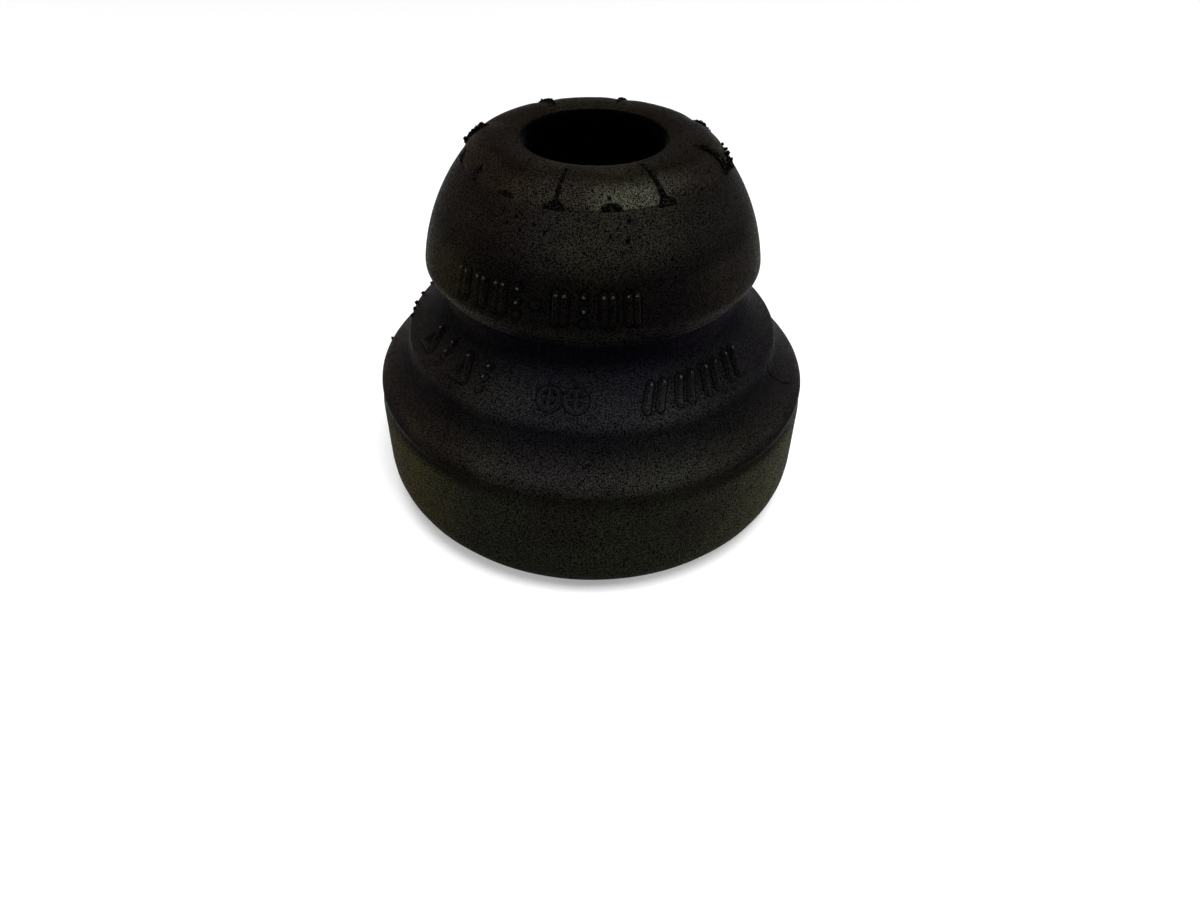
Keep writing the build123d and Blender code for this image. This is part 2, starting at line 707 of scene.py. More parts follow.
def mark_strokes(shape: MarkShape, height: float) -> list[Stroke]:
    """The strokes of a mark about its own middle.

    Args:
        shape: The mark's shape.
        height: Its height up the surface.

    Returns:
        Each stroke's two ends.
    """
    half = height / 2
    dot = 0.01
    match shape:
        case MarkShape.BAR_PAIR:
            gap = 0.15 * height
            return [(-gap, -half, -gap, half), (gap, -half, gap, half)]
        case MarkShape.PIP_STACK:
            return [(0, z, 0, z + dot) for z in (-half, 0, half)]
        case MarkShape.PIP:
            return [(-0.25, 0, 0.25, 0)]
        case MarkShape.TRIANGLE:
            wide = 0.42 * height
            return [(-wide, -half, wide, -half), (wide, -half, 0, half), (0, half, -wide, -half)]
        case MarkShape.DIAL:
            outer, inner = 0.62 * half, 0.32 * half
            ticks = [(0, side * outer, 0, side * inner) for side in (-1, 1)]
            ticks += [(side * outer, 0, side * inner, 0) for side in (-1, 1)]
            return ring_strokes(half, 16) + ticks + [(0, 0, dot, 0)]
        case MarkShape.HATCH:
            lean, gap = 0.22 * height, 0.28 * height
            return [(middle - lean, -half, middle + lean, half) for middle in (-gap, gap)]


@dataclass(frozen=True)
class Mark:
    """One raised mark: its shape and the azimuth of its middle."""

    shape: MarkShape
    azimuth: float


@dataclass
class MarkRow(SurfaceFeature):
    """A row of raised marks round the body.

    Attributes:
        marks: The row's marks.
        z: Height of the marks' middle above the seat.
        slope: The surface's slope there, in degrees from the axis.
        height: The marks' height up the surface.
        stroke: Width of a stroke.
        relief: How far a stroke stands out.
        edge: Width of a stroke's sloping side.
        hollow: Depth of the slight hollow round a stroke.
        hollow_width: Width of that hollow.
        top_light: How much painted light brightens a stroke's top.
        ring: Distance from a stroke of the middle of its ring of painted shade, its half width and
            its edge.
        glint: How much a painted highlight brightens a stroke's upper end.
        glint_fade: The distances from that end between which it brightens.
        glint_drop: How far below that end the glint's middle is.
        margin: How far past the marks' ends distances are worked out.
        levels: How often the mesh is divided near a mark.
    """

    marks: tuple[Mark, ...]
    z: float
    slope: float
    height: float
    stroke: float = 0.74
    relief: float = 0.5
    edge: float = 0.3
    hollow: float = 0.1
    hollow_width: float = 0.24
    top_light: float = 0.25
    ring: tuple[float, float, float] = (0.24, 0.08, 0.2)
    glint: float = 1.1
    glint_fade: Pair = (0.3, 0.08)
    glint_drop: float = 0.05
    margin: float = 2.0
    levels: int = 2

    def distance(self, places: SurfacePlaces) -> np.ndarray:
        """Distance from the nearest stroke's middle line, less half its width."""
        up = (places.height - self.z) / cos(radians(self.slope))
        nearest = np.full(len(up), FAR)
        near_row = (np.abs(up) < self.height / 2 + self.margin) & (places.radius > OUTSIDE)
        for mark in self.marks:
            across = places.around(mark.azimuth)
            chosen = near_row & (np.abs(across) < self.height)
            x, y = across[chosen], up[chosen]
            best = nearest[chosen]
            for x0, y0, x1, y1 in mark_strokes(mark.shape, self.height - self.stroke):
                dx, dy = x1 - x0, y1 - y0
                share = np.clip(((x - x0) * dx + (y - y0) * dy) / (dx * dx + dy * dy), 0, 1)
                best = np.minimum(best, np.hypot(x - x0 - share * dx, y - y0 - share * dy))
            nearest[chosen] = best
        return nearest - self.stroke / 2

    def lift(self, places: SurfacePlaces) -> np.ndarray:
        """The strokes stand out with soft sides, from a slight hollow round them."""
        gap = self.distance(places)
        hollow = hump(np.abs(gap - self.edge - self.hollow_width / 2), 0.0, self.hollow_width)
        return self.relief * hump(gap, 0.0, self.edge) - self.hollow * hollow

    def shade(self, places: SurfacePlaces) -> np.ndarray:
        """Painted shade in the hollow round each stroke, and painted highlights on its top and at
        its upper end.
        """
        gap = self.distance(places)
        up = (places.height - self.z) / cos(radians(self.slope))
        middle, half_width, edge = self.ring
        shade = self.top_light * smooth_rise(gap, 0.0, -edge)
        shade -= hump(np.abs(gap - middle), half_width, edge)
        for mark in self.marks:
            if mark.shape is MarkShape.DIAL:
                continue
            across = places.around(mark.azimuth)
            for x0, y0, x1, y1 in mark_strokes(mark.shape, self.height - self.stroke):
                x, y = (x1, y1) if y1 >= y0 else (x0, y0)
                if y > 0:
                    away = np.hypot(across - x, up - y + self.glint_drop)
                    shade += self.glint * smooth_rise(away, *self.glint_fade)
        return np.clip(shade, -1, 1)


@dataclass(frozen=True)
class VentMark:
    """What an air vent of the mould left at the crown's edge.

    Attributes:
        azimuth: Where it is.
        reach: How far it runs from the crown's edge towards the bore.
        width: Its width along the rib, or a stub's full width.
        foot: Its width at the crown's edge.
        stand: How far it stands above the dome.
        overhang: How far it sticks out past the crown's edge.
        half_round: 1 for a half-round stub, 0 for a rib with a foot.
        scar: Depth of the hollow that it was torn from.
        lean: How far its foot is torn off to the right.
    """

    azimuth: float
    reach: float
    width: float
    foot: float
    stand: float
    overhang: float
    half_round: float = 0.0
    scar: float = 0.12
    lean: float = 0.0


VENT_MARKS = (
    VentMark(-15.5, 7.4, 0.5, 2.7, 0.16, 0.14, lean=-0.1),
    VentMark(29.5, 7.2, 0.6, 2.3, 0.26, 0.3, lean=0.35),
    VentMark(74.5, 5.2, 0.5, 1.7, 0.55, 0.65, scar=0.2),
    VentMark(119.5, 2.6, 0.8, 2.1, 0.6, 0.5),
    VentMark(164.5, 7.2, 0.8, 1.6, 0.27, 0.3),
    VentMark(-151.5, 7.0, 1.2, 1.9, 0.4, 0.3),
    VentMark(-105.5, 3.6, 1.2, 4.4, 0.62, 0.32, lean=-0.5),
    VentMark(-60.5, 2.3, 0.5, 1.3, 0.2, 0.05),
    VentMark(7.0, 0.95, 2.7, 2.7, 0.03, 0.04, 1.0, 0.3),
    VentMark(52.0, 0.8, 1.9, 1.9, 0.01, 0.02, 1.0, 0.07),
    VentMark(97.0, 1.2, 2.2, 2.2, 0.15, 0.1, 1.0, 0.2),
    VentMark(142.0, 1.2, 2.2, 2.2, 0.12, 0.1, 1.0, 0.2),
    VentMark(-173.0, 1.2, 2.2, 2.2, 0.12, 0.1, 1.0, 0.2),
    VentMark(-128.0, 1.2, 2.2, 2.2, 0.15, 0.12, 1.0, 0.2),
    VentMark(-83.0, 1.2, 2.2, 2.2, 0.2, 0.3, 1.0, 0.2),
    VentMark(-38.0, 0.8, 2.3, 2.3, 0.02, 0.03, 1.0, 0.26),
)


@dataclass
class VentHollows(SurfaceFeature):
    """The hollows beside the ribs and under the stubs, and the soft petals between the ribs.

    Attributes:
        sizes: The body's sizes.
        vents: The marks that the vents left.
        foot_length: How far a rib's foot reaches in from the crown's edge.
        petal_rise: How far a petal swells.
        petal_side: Distances from a rib between which a petal rises.
        petal_inside: Distances from the crown's edge between which it rises from the bore's side.
        petal_edge: How soon it rises behind the crown's edge.
        scar_edge: Width of a hollow's side.
        slack: How far below the crown's edge, and from the bore's wall, the dome still counts.
    """

    sizes: BodySizes
    vents: tuple[VentMark, ...] = VENT_MARKS
    foot_length: float = 1.1
    petal_rise: float = 0.16
    petal_side: Pair = (0.2, 2.6)
    petal_inside: Pair = (7.0, 2.5)
    petal_edge: float = 0.6
    scar_edge: float = 0.16
    slack: Pair = (0.02, 0.1)

    def inward(self, places: SurfacePlaces) -> np.ndarray:
        """Distance over the dome from the crown's edge towards the bore; far away off the dome."""
        centre_r, centre_z, radius = self.sizes.dome()
        edge_angle = np.arctan2(self.sizes.crown_d / 2 - centre_r, self.sizes.crown_z - centre_z)
        angle = np.arctan2(places.radius - centre_r, places.height - centre_z)
        below, beside = self.slack
        on_dome = places.height > self.sizes.crown_z - below
        on_dome &= places.radius > self.sizes.bore_d / 2 + beside
        return np.where(on_dome, (edge_angle - angle) * radius, FAR)

    def half_width(self, vent: VentMark, inward: np.ndarray) -> np.ndarray:
        """Half of a vent mark's width at each distance from the crown's edge."""
        if vent.half_round:
            share = np.clip(inward / vent.reach, 0, 1)
            return vent.width / 2 * np.sqrt(np.clip(1 - share**2, 0, 1))
        foot = smooth_rise(inward, self.foot_length, 0.0)
        taper = smooth_rise(inward, vent.reach, vent.reach / 2)
        return (vent.width + (vent.foot - vent.width) * foot) / 2 * taper

    def beside(self, vent: VentMark, places: SurfacePlaces, inward: np.ndarray) -> np.ndarray:
        """How far each point is outside a vent mark's two sides."""
        lean = vent.lean * smooth_rise(inward, self.foot_length, 0.0)
        return np.abs(places.around(vent.azimuth) - lean) - self.half_width(vent, inward)

    def distance(self, places: SurfacePlaces) -> np.ndarray:
        """Distance from the nearest hollow's side."""
        inward = self.inward(places)
        nearest = np.full(len(inward), FAR)
        for vent in self.vents:
            side = self.beside(vent, places, inward)
            outside = np.maximum(side, inward - vent.reach)
            nearest = np.where(inward < FAR, np.minimum(nearest, np.abs(outside)), nearest)
        return nearest

    def lift(self, places: SurfacePlaces) -> np.ndarray:
        """The petals rise between the ribs, and the hollows cut into them."""
        inward = self.inward(places)
        ribs = [vent for vent in self.vents if not vent.half_round]
        nearest_rib = np.min([np.abs(places.around(rib.azimuth)) for rib in ribs], axis=0)
        rise = smooth_rise(nearest_rib, *self.petal_side) * smooth_rise(inward, *self.petal_inside)
        rise *= smooth_rise(inward, 0.0, self.petal_edge)
        lift = self.petal_rise * rise
        for vent in self.vents:
            side = self.beside(vent, places, inward)
            within = hump(np.maximum(side, inward - vent.reach), 0.0, self.scar_edge)
            lift -= vent.scar * within
        return np.where(inward < FAR, lift, 0.0)


@dataclass
class PartingLine(SurfaceFeature):
    """The fine step under the crown's edge, where the mould's halves met; it shows at the front.

    Attributes:
        sizes: The body's sizes.
        depth: The step's depth.
        width: Its height down the bulb.
        full: How far below the edge it gets its full depth, and begins to lose it.
        ends: The azimuths of its two ends.
        fade: How many degrees it takes to run out.
    """

    sizes: BodySizes
    depth: float = 0.14
    width: float = 0.3
    full: Pair = (0.07, 0.12)
    ends: Pair = (-17.0, 31.0)
    fade: float = 2.0

    def lift(self, places: SurfacePlaces) -> np.ndarray:
        """A groove just under the edge; the rows there are close already."""
        below = self.sizes.crown_z - places.height
        top, bottom = self.full
        groove = smooth_rise(below, 0.0, top) * smooth_rise(below, self.width, bottom)
        left, right = self.ends
        groove *= smooth_rise(places.azimuth, left - self.fade, left) * smooth_rise(
            places.azimuth, right + self.fade, right
        )
        return np.where(places.radius > self.sizes.crown_d / 2 - 1, -self.depth * groove, 0.0)


@dataclass(frozen=True)
class Pore:
    """A small round pit in the skin: where it is, how wide and how deep."""

    azimuth: float
    z: float
    width: float
    depth: float = 0.25


@dataclass
class Pores(SurfaceFeature):
    """The open pores of the skin.

    Attributes:
        pores: The pores.
        stretch: How much longer the surface is than its height, about where they are.
        rim: Width of a pore's soft rim, as a share of its width.
        shadow: How far outside the rim its dark ends, and the width of that edge.
        levels: How often the mesh is divided near a pore.
    """

    pores: tuple[Pore, ...]
    stretch: float = 1.25
    rim: float = 0.7
    shadow: Pair = (0.03, 0.14)
    levels: int = 2

    def offsets(self, places: SurfacePlaces, pore: Pore) -> np.ndarray:
        """Distance from one pore's middle."""
        across = places.around(pore.azimuth)
        up = (places.height - pore.z) * self.stretch
        return np.where(places.radius > OUTSIDE, np.hypot(across, up), FAR)

    def distance(self, places: SurfacePlaces) -> np.ndarray:
        """Distance from the nearest pore's rim, measured outwards."""
        gaps = [self.offsets(places, pore) - pore.width / 2 for pore in self.pores]
        return np.min(gaps, axis=0)

    def lift(self, places: SurfacePlaces) -> np.ndarray:
        """Each pore is a round pit with a soft rim."""
        lift = np.zeros(len(places.height))
        for pore in self.pores:
            gap = self.offsets(places, pore)
            lift -= pore.depth * hump(gap, pore.width / 2, pore.width * self.rim)
        return lift

    def shade(self, places: SurfacePlaces) -> np.ndarray:
        """No light gets into a pore."""
        return -hump(self.distance(places), *self.shadow)


@dataclass
class Scratch(SurfaceFeature):
    """A fine curved scratch on the shoulder.

    Attributes:
        path: Its points, each an azimuth and a height.
        width: Its width.
        depth: Its depth.
        darkness: How dark the painted shade in its groove is.
        stretch: How much longer the slope is than its height.
        levels: How often the mesh is divided near it.
    """

    path: tuple[Pair, ...]
    width: float = 0.22
    depth: float = 0.16
    darkness: float = 0.9
    stretch: float = 1.4
    levels: int = 2

    def distance(self, places: SurfacePlaces) -> np.ndarray:
        """Distance from the scratch's line."""
        nearest = np.full(len(places.height), FAR)
        for (a0, z0), (a1, z1) in zip(self.path, self.path[1:]):
            x, y = places.around(a0), (places.height - z0) * self.stretch
            dx, dy = places.around(a0) - places.around(a1), (z1 - z0) * self.stretch
            share = np.clip((x * dx + y * dy) / (dx * dx + dy * dy), 0, 1)
            gap = np.hypot(x - share * dx, y - share * dy)
            nearest = np.minimum(nearest, np.where(places.radius > OUTSIDE, gap, FAR))
        return nearest

    def lift(self, places: SurfacePlaces) -> np.ndarray:
        """A narrow groove."""
        return -self.depth * hump(self.distance(places), self.width / 2, self.width)

    def shade(self, places: SurfacePlaces) -> np.ndarray:
        """Painted shade in the groove."""
        return -self.darkness * hump(self.distance(places), self.width / 2, self.width)


# The attribute that holds the features' painted shade and highlights.
SKIN_SHADE = "skin_shade"
BULB_MARKS = MarkRow(
    marks=(
        Mark(MarkShape.BAR_PAIR, 12.3),
        Mark(MarkShape.BAR_PAIR, 4.8),
        Mark(MarkShape.PIP_STACK, -2.6),
        Mark(MarkShape.BAR_PAIR, -9.8),
        Mark(MarkShape.PIP, -17.6),
        Mark(MarkShape.PIP_STACK, -23.6),
        Mark(MarkShape.BAR_PAIR, -30.0),
        Mark(MarkShape.BAR_PAIR, -37.4),
        Mark(MarkShape.BAR_PAIR, -45.0),
    ),
    z=42.4,
    slope=12,
    height=4.1,
)
COLLAR_LEFT_MARKS = MarkRow(
    marks=tuple(
        Mark(shape, azimuth)
        for shape, azimuth in zip(
            (MarkShape.TRIANGLE, MarkShape.PIP_STACK, MarkShape.TRIANGLE, MarkShape.PIP_STACK),
            (-66.0, -55.5, -45.5, -36.0),
        )
    ),
    z=29.9,
    slope=50,
    height=4.0,
)
COLLAR_DIALS = MarkRow(
    marks=(Mark(MarkShape.DIAL, -12.8), Mark(MarkShape.DIAL, -4.6)),
    z=29.7,
    slope=50,
    height=3.2,
    stroke=0.5,
    edge=0.26,
)
COLLAR_RIGHT_MARKS = MarkRow(
    marks=tuple(Mark(MarkShape.HATCH, azimuth) for azimuth in (20.0, 30.5, 41.0, 51.5)),
    z=29.7,
    slope=50,
    height=4.0,
)
SKIN_PORES = Pores(
    (
        Pore(13.5, 51.6, 0.5),
        Pore(6.0, 50.2, 0.3),
        Pore(12.0, 49.7, 0.55),
        Pore(6.5, 53.7, 0.4),
        Pore(-22.0, 50.8, 0.4),
        Pore(-27.0, 50.0, 0.35),
        Pore(-30.0, 51.2, 0.4),
        Pore(-33.0, 50.4, 0.3),
        Pore(-17.5, 50.3, 0.32),
        Pore(-3.0, 48.6, 0.25),
        Pore(27.0, 47.2, 0.3),
    )
)
SHOULDER_SCRATCH = Scratch(((66.5, 26.4), (67.5, 24.6), (70.0, 22.9), (73.5, 21.9)))


@dataclass
class CushionBody:
    """The moulded body, as one closed mesh.

    Attributes:
        sizes: The section's sizes.
        columns: Number of columns round the body.
        front_bias: How much closer the columns stand at the front, from 0 to 1.
        ripple_size: Length of the surface's slow waves.
        ripple_depth: Height of those waves.
        refine_margin: How far round a feature the mesh is refined.
        seed: Where those waves' noise is read.
    """

    sizes: BodySizes = field(default_factory=BodySizes)
    columns: int = 348
    front_bias: float = 0.45
    ripple_size: float = 14.0
    ripple_depth: float = 0.16
    refine_margin: float = 0.28
    seed: int = 7

    def features(self) -> list[SurfaceFeature]:
        """Everything that is worked into the surface."""
        return [
            VentHollows(self.sizes),
            PartingLine(self.sizes),
            BULB_MARKS,
            COLLAR_LEFT_MARKS,
            COLLAR_DIALS,
            COLLAR_RIGHT_MARKS,
            SKIN_PORES,
            SHOULDER_SCRATCH,
        ]

    def lathe_tree(self, inputs: dict[str, object]) -> bpy.types.NodeTree:
        """The tree that turns the section's points about Z.

        Args:
            inputs: The tree's named inputs and their values.

        Returns:
            The tree.
        """
        sheet, value = new_geometry_tree("lathe", inputs)
        rows = sheet.out("GeometryNodeAttributeDomainSize", {0: value["Geometry"]})
        counts = {
            "Vertices X": sheet.plus(value["Columns"], 1),
            "Vertices Y": sheet.plus(rows, 1),
        }
        grid = sheet.out("GeometryNodeMeshGrid", {"Size X": 1.0, "Size Y": 1.0, **counts})
        here = sheet.out("GeometryNodeInputPosition")
        across, up, _ = sheet.split(here)
        row = sheet.maths("ROUND", sheet.times(sheet.plus(up, 0.5), rows))
        sample = {
            "Geometry": value["Geometry"],
            "Value": here,
            "Index": sheet.maths("MODULO", row, rows),
        }
        point = sheet.out(
            "GeometryNodeSampleIndex", sample, data_type="FLOAT_VECTOR", domain="POINT"
        )
        radius, _, height = sheet.split(point)
        even = sheet.times(sheet.plus(across, 0.5), 2 * pi)
        angle = sheet.minus(even, sheet.times(sheet.maths("SINE", even), value["Front Bias"]))
        turned = sheet.combine(
            sheet.times(radius, sheet.maths("SINE", angle)),
            sheet.times(radius, sheet.times(sheet.maths("COSINE", angle), -1.0)),
            height,
        )
        shell = sheet.out("GeometryNodeSetPosition", {"Geometry": grid, "Position": turned})
        shell = sheet.out("GeometryNodeMergeByDistance", {"Geometry": shell, "Distance": WELD})
        place = sheet.vector_maths("ADD", here, sheet.scaled((1.0, 1.0, 1.0), value["Seed"]))
        wave = sheet.noise(place, sheet.over(1.0, value["Ripple Size"]), 1.0)
        depth = sheet.times(sheet.minus(wave, 0.5), value["Ripple Depth"])
        ripple = sheet.scaled(sheet.out("GeometryNodeInputNormal"), depth)
        shell = sheet.out("GeometryNodeSetPosition", {"Geometry": shell, "Offset": ripple})
        end_geometry_tree(sheet, shell, value["Material"])
        return sheet.tree

    def turn_section(self, material: bpy.types.Material) -> bpy.types.Object:
        """Turns the section into the plain body.

        Args:
            material: The body's finish.

        Returns:
            The body before anything is worked into it.
        """
        rows = section_rows(self.sizes.corners())
        start = points_mesh("section", [(r * MM, 0.0, z * MM) for r, z in rows])
        inputs = {
            "Columns": self.columns,
            "Front Bias": self.front_bias,
            "Ripple Size": self.ripple_size * MM,
            "Ripple Depth": self.ripple_depth * MM,
            "Seed": self.seed,
            "Material": material,
        }
        body = grow("bump_stop_body", start, self.lathe_tree(inputs), inputs)
        log.info("section of %d rows turned into %d faces", len(rows), len(body.data.polygons))
        return body

    def refine(self, mesh: bpy.types.Mesh) -> None:
        """Divides the faces near each feature, as often as the feature asks.

        Args:
            mesh: The body's mesh, which is changed.
        """
        features = self.features()
        for level in range(1, 1 + max(feature.levels for feature in features)):
            places = SurfacePlaces.of(vertex_places(mesh))
            near = np.zeros(len(mesh.vertices), bool)
            for feature in features:
                if feature.levels >= level:
                    near |= np.abs(feature.distance(places)) < self.refine_margin / level
            sculpt = bmesh.new()
            sculpt.from_mesh(mesh)
            sculpt.verts.ensure_lookup_table()
            chosen = {
                edge
                for index in np.nonzero(near)[0]
                for face in sculpt.verts[index].link_faces
                for edge in face.edges
            }
            edges = sorted(chosen, key=lambda edge: edge.index)
            bmesh.ops.subdivide_edges(sculpt, edges=edges, cuts=1, use_grid_fill=True)
            sculpt.to_mesh(mesh)
            sculpt.free()

    def work_surface(self, mesh: bpy.types.Mesh) -> None:
        """Moves the vertices along their normals by what the features ask.

        Args:
            mesh: The body's mesh, which is changed.
        """
        spots = vertex_places(mesh)
        places = SurfacePlaces.of(spots)
        normals = np.empty(len(mesh.vertices) * 3)
        mesh.vertices.foreach_get("normal", normals)
        lift = sum(feature.lift(places) for feature in self.features())
        moved = spots + normals.reshape(-1, 3) * lift[:, None] * MM
        mesh.vertices.foreach_set("co", moved.ravel())
        # The features' painted shade and highlights go into an attribute that the skin's colour
        # reads.
        shade = np.clip(sum(feature.shade(places) for feature in self.features()), -1, 1)
        mesh.attributes.new(SKIN_SHADE, "FLOAT", "POINT").data.foreach_set("value", shade)
        mesh.update()

    def build(self, material: bpy.types.Material) -> bpy.types.Object:
        """Builds the body and lets it stand for the CAD solid.

        Args:
            material: The body's finish.

        Returns:
            The finished body.
        """
        body = self.turn_section(material)
        self.refine(body.data)
        self.work_surface(body.data)
        for face in body.data.polygons:
            face.use_smooth = True
        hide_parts(CAD_NODE)
        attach(body, BODY)
        return body


def drop_attributes(mesh: bpy.types.Mesh, names: Iterable[str]) -> None:
    """Takes away the attributes that only a tree needed.

    Args:
        mesh: The mesh that the tree made.
        names: The attributes' names.
    """
    for name in names:
        if name in mesh.attributes:
            mesh.attributes.remove(mesh.attributes[name])


VENT_NUMBERS = ("reach", "width", "foot", "stand", "overhang", "half_round", "lean")


@dataclass
class VentFlash:
    """The torn rubber that the mould's air vents left round the crown.

    Attributes:
        sizes: The body's sizes.
        vents: The marks that the vents left.
        embed: How deep the rubber is rooted in the body.
        foot_length: How far a rib's foot reaches in from the crown's edge.
        tip: A rib's width at its tip, as a share of its full width.
        tip_share: The share of its reach over which it widens from there.
        tip_height: A mark's height at its tip, as a share of its full height.
        low_end: How far from the tip the rubber has its full height.
        grit: How close the torn lumps are.
        lumps: Where the lumps' noise starts and ends.
        lump_heights: How high the lumps are there, as shares of the mark's stand.
        ragged: How uneven the torn sides are.
        width_swing: How much of that goes into the width.
        sway: How much of it bends the rib from side to side.
        lump_shift: How far from the sides' noise the lumps' noise is read.
        seed: Where the noise is read.
        cuts: Points along, across and up each mark.
    """

    sizes: BodySizes = field(default_factory=BodySizes)
    vents: tuple[VentMark, ...] = VENT_MARKS
    embed: float = 0.45
    foot_length: float = 1.2
    tip: float = 0.12
    tip_share: float = 0.5
    tip_height: float = 0.1
    low_end: float = 1.2
    grit: float = 2.6
    lumps: Pair = (0.35, 0.68)
    lump_heights: Pair = (0.25, 1.35)
    ragged: float = 0.5
    width_swing: float = 1.6
    sway: float = 0.35
    lump_shift: tuple[float, float, float] = (9.1, 3.7, 5.3)
    seed: int = 3
    cuts: tuple[int, int, int] = (34, 8, 5)

    def blocks(self, sheet: NodeSheet, points: Socket) -> Socket:
        """Puts a block of unit size at each point, with its own places kept in an attribute."""
        cuts = dict(zip(("Vertices X", "Vertices Y", "Vertices Z"), self.cuts))
        block = sheet.out("GeometryNodeMeshCube", {"Size": (1, 1, 1), **cuts})
        unit = {"Geometry": block, "Name": "unit", "Value": sheet.out("GeometryNodeInputPosition")}
        kept = sheet.out(
            "GeometryNodeStoreNamedAttribute", unit, data_type="FLOAT_VECTOR", domain="POINT"
        )
        copies = sheet.out("GeometryNodeInstanceOnPoints", {"Points": points, "Instance": kept})
        return sheet.out("GeometryNodeRealizeInstances", {"Geometry": copies})

    def tree(self, inputs: dict[str, object]) -> bpy.types.NodeTree:
        """The tree that bends a block over the dome at each vent.

        Args:
            inputs: The tree's named inputs and their values.

        Returns:
            The tree.
        """
        sheet, value = new_geometry_tree("vent_flash", inputs)
        real = self.blocks(sheet, value["Geometry"])
        number = {name: sheet.attribute(name) for name in ("azimuth", *VENT_NUMBERS)}
        reach, rib_width = number["reach"], number["width"]
        x, y, z = sheet.split(sheet.attribute("unit", "FLOAT_VECTOR"))

        # How far each point is from the mark's tip, and from the crown's edge
        outward = sheet.times(sheet.plus(x, 0.5), sheet.plus(reach, number["overhang"]))
        inward = sheet.minus(reach, outward)

        # The width of a rib with its foot, or of a half-round stub
        foot = sheet.range(inward, value["Foot Length"], 0.0)
        spread = sheet.times(sheet.minus(number["foot"], rib_width), foot)
        taper = sheet.range(outward, 0.0, sheet.times(reach, self.tip_share), self.tip, 1.0)
        rib = sheet.times(sheet.plus(rib_width, spread), taper)
        share = sheet.maths("MAXIMUM", sheet.over(inward, reach), 0.0)
        chord = sheet.minus(1.0, sheet.times(share, share))
        stub = sheet.times(sheet.maths("SQRT", chord), rib_width)
        width = sheet.mix(number["half_round"], rib, stub)

        # Torn sides and lumps
        seeded = sheet.plus(number["azimuth"], value["Seed"])
        grit_place = sheet.combine(outward, sheet.times(y, width), seeded)
        coarse = sheet.noise(grit_place, value["Grit"], 3.0, 0.7)
        elsewhere = sheet.vector_maths("ADD", grit_place, self.lump_shift)
        fine = sheet.noise(elsewhere, value["Grit"], 4.0, 0.75)
        swing = sheet.times(sheet.minus(coarse, 0.5), value["Raggedness"])
        wide = sheet.times(width, sheet.plus(1.0, sheet.times(swing, self.width_swing)))
        sway = sheet.times(swing, sheet.times(rib_width, self.sway))
        sway = sheet.plus(sway, sheet.times(number["lean"], foot))
        across = sheet.plus(sheet.times(y, wide), sway)
        lump = sheet.range(fine, *self.lumps, *self.lump_heights)
        low_end = sheet.range(outward, 0.0, self.low_end, self.tip_height, 1.0)
        crest = sheet.times(number["stand"], lump, low_end)
        thick = sheet.times(sheet.plus(z, 0.5), sheet.plus(crest, value["Embed"]))
        level = sheet.minus(thick, value["Embed"])

        # The place over the dome, turned to the mark's azimuth
        arc = sheet.minus(value["Edge Angle"], sheet.over(inward, value["Dome Radius"]))
        ray = sheet.plus(value["Dome Radius"], level)
        radius = sheet.plus(value["Dome Centre"], sheet.times(ray, sheet.maths("SINE", arc)))
        height = sheet.plus(value["Dome Height"], sheet.times(ray, sheet.maths("COSINE", arc)))
        place = sheet.combine(across, sheet.times(radius, -1.0), height)
        turn = {"Vector": place, "Angle": number["azimuth"]}
        turned = sheet.out("ShaderNodeVectorRotate", turn, rotation_type="Z_AXIS")
        bend = {"Geometry": real, "Position": sheet.scaled(turned, MM)}
        bent = sheet.out("GeometryNodeSetPosition", bend)
        end_geometry_tree(sheet, bent, value["Material"])
        return sheet.tree

    def build(self, material: bpy.types.Material) -> bpy.types.Object:
        """Builds the torn rubber.

        Args:
            material: Its finish.

        Returns:
            The finished piece.
        """
        centre_r, centre_z, radius = self.sizes.dome()
        edge = np.arctan2(self.sizes.crown_d / 2 - centre_r, self.sizes.crown_z - centre_z)
        inputs = {
            "Dome Centre": centre_r,
            "Dome Height": centre_z,
            "Dome Radius": radius,
            "Edge Angle": float(edge),
            "Foot Length": self.foot_length,
            "Embed": self.embed,
            "Grit": self.grit,
            "Raggedness": self.ragged,
            "Seed": self.seed,
            "Material": material,
        }
        values = {name: [getattr(vent, name) for vent in self.vents] for name in VENT_NUMBERS}
        values["azimuth"] = [radians(vent.azimuth) for vent in self.vents]
        start = points_mesh("vents", [(0.0, 0.0, 0.0)] * len(self.vents), values)
        flash = grow("vent_flash", start, self.tree(inputs), inputs)
        drop_attributes(flash.data, ("unit", *values))
        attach(flash, BODY)
        return flash


@dataclass(frozen=True)
class Crumb:
    """A crumb of flash: its azimuth, distance from the axis, height and width."""

    azimuth: float
    r: float
    z: float
    width: float


FLASH_CRUMBS = (
    Crumb(-109.5, 26.85, 27.75, 0.55),
    Crumb(-102.5, 26.85, 27.75, 0.45),
    Crumb(-96.0, 26.85, 27.75, 0.6),
    Crumb(-92.2, 26.85, 27.75, 0.4),
    Crumb(-88.7, 26.85, 27.75, 0.5),
    Crumb(-97.5, 31.95, 20.4, 0.45),
    Crumb(76.0, 17.95, 53.0, 1.0),
    Crumb(80.5, 17.75, 53.1, 0.8),
    Crumb(86.0, 17.45, 53.3, 0.65),
    Crumb(94.0, 17.45, 52.95, 0.4),
    Crumb(100.5, 17.5, 52.8, 0.5),
)


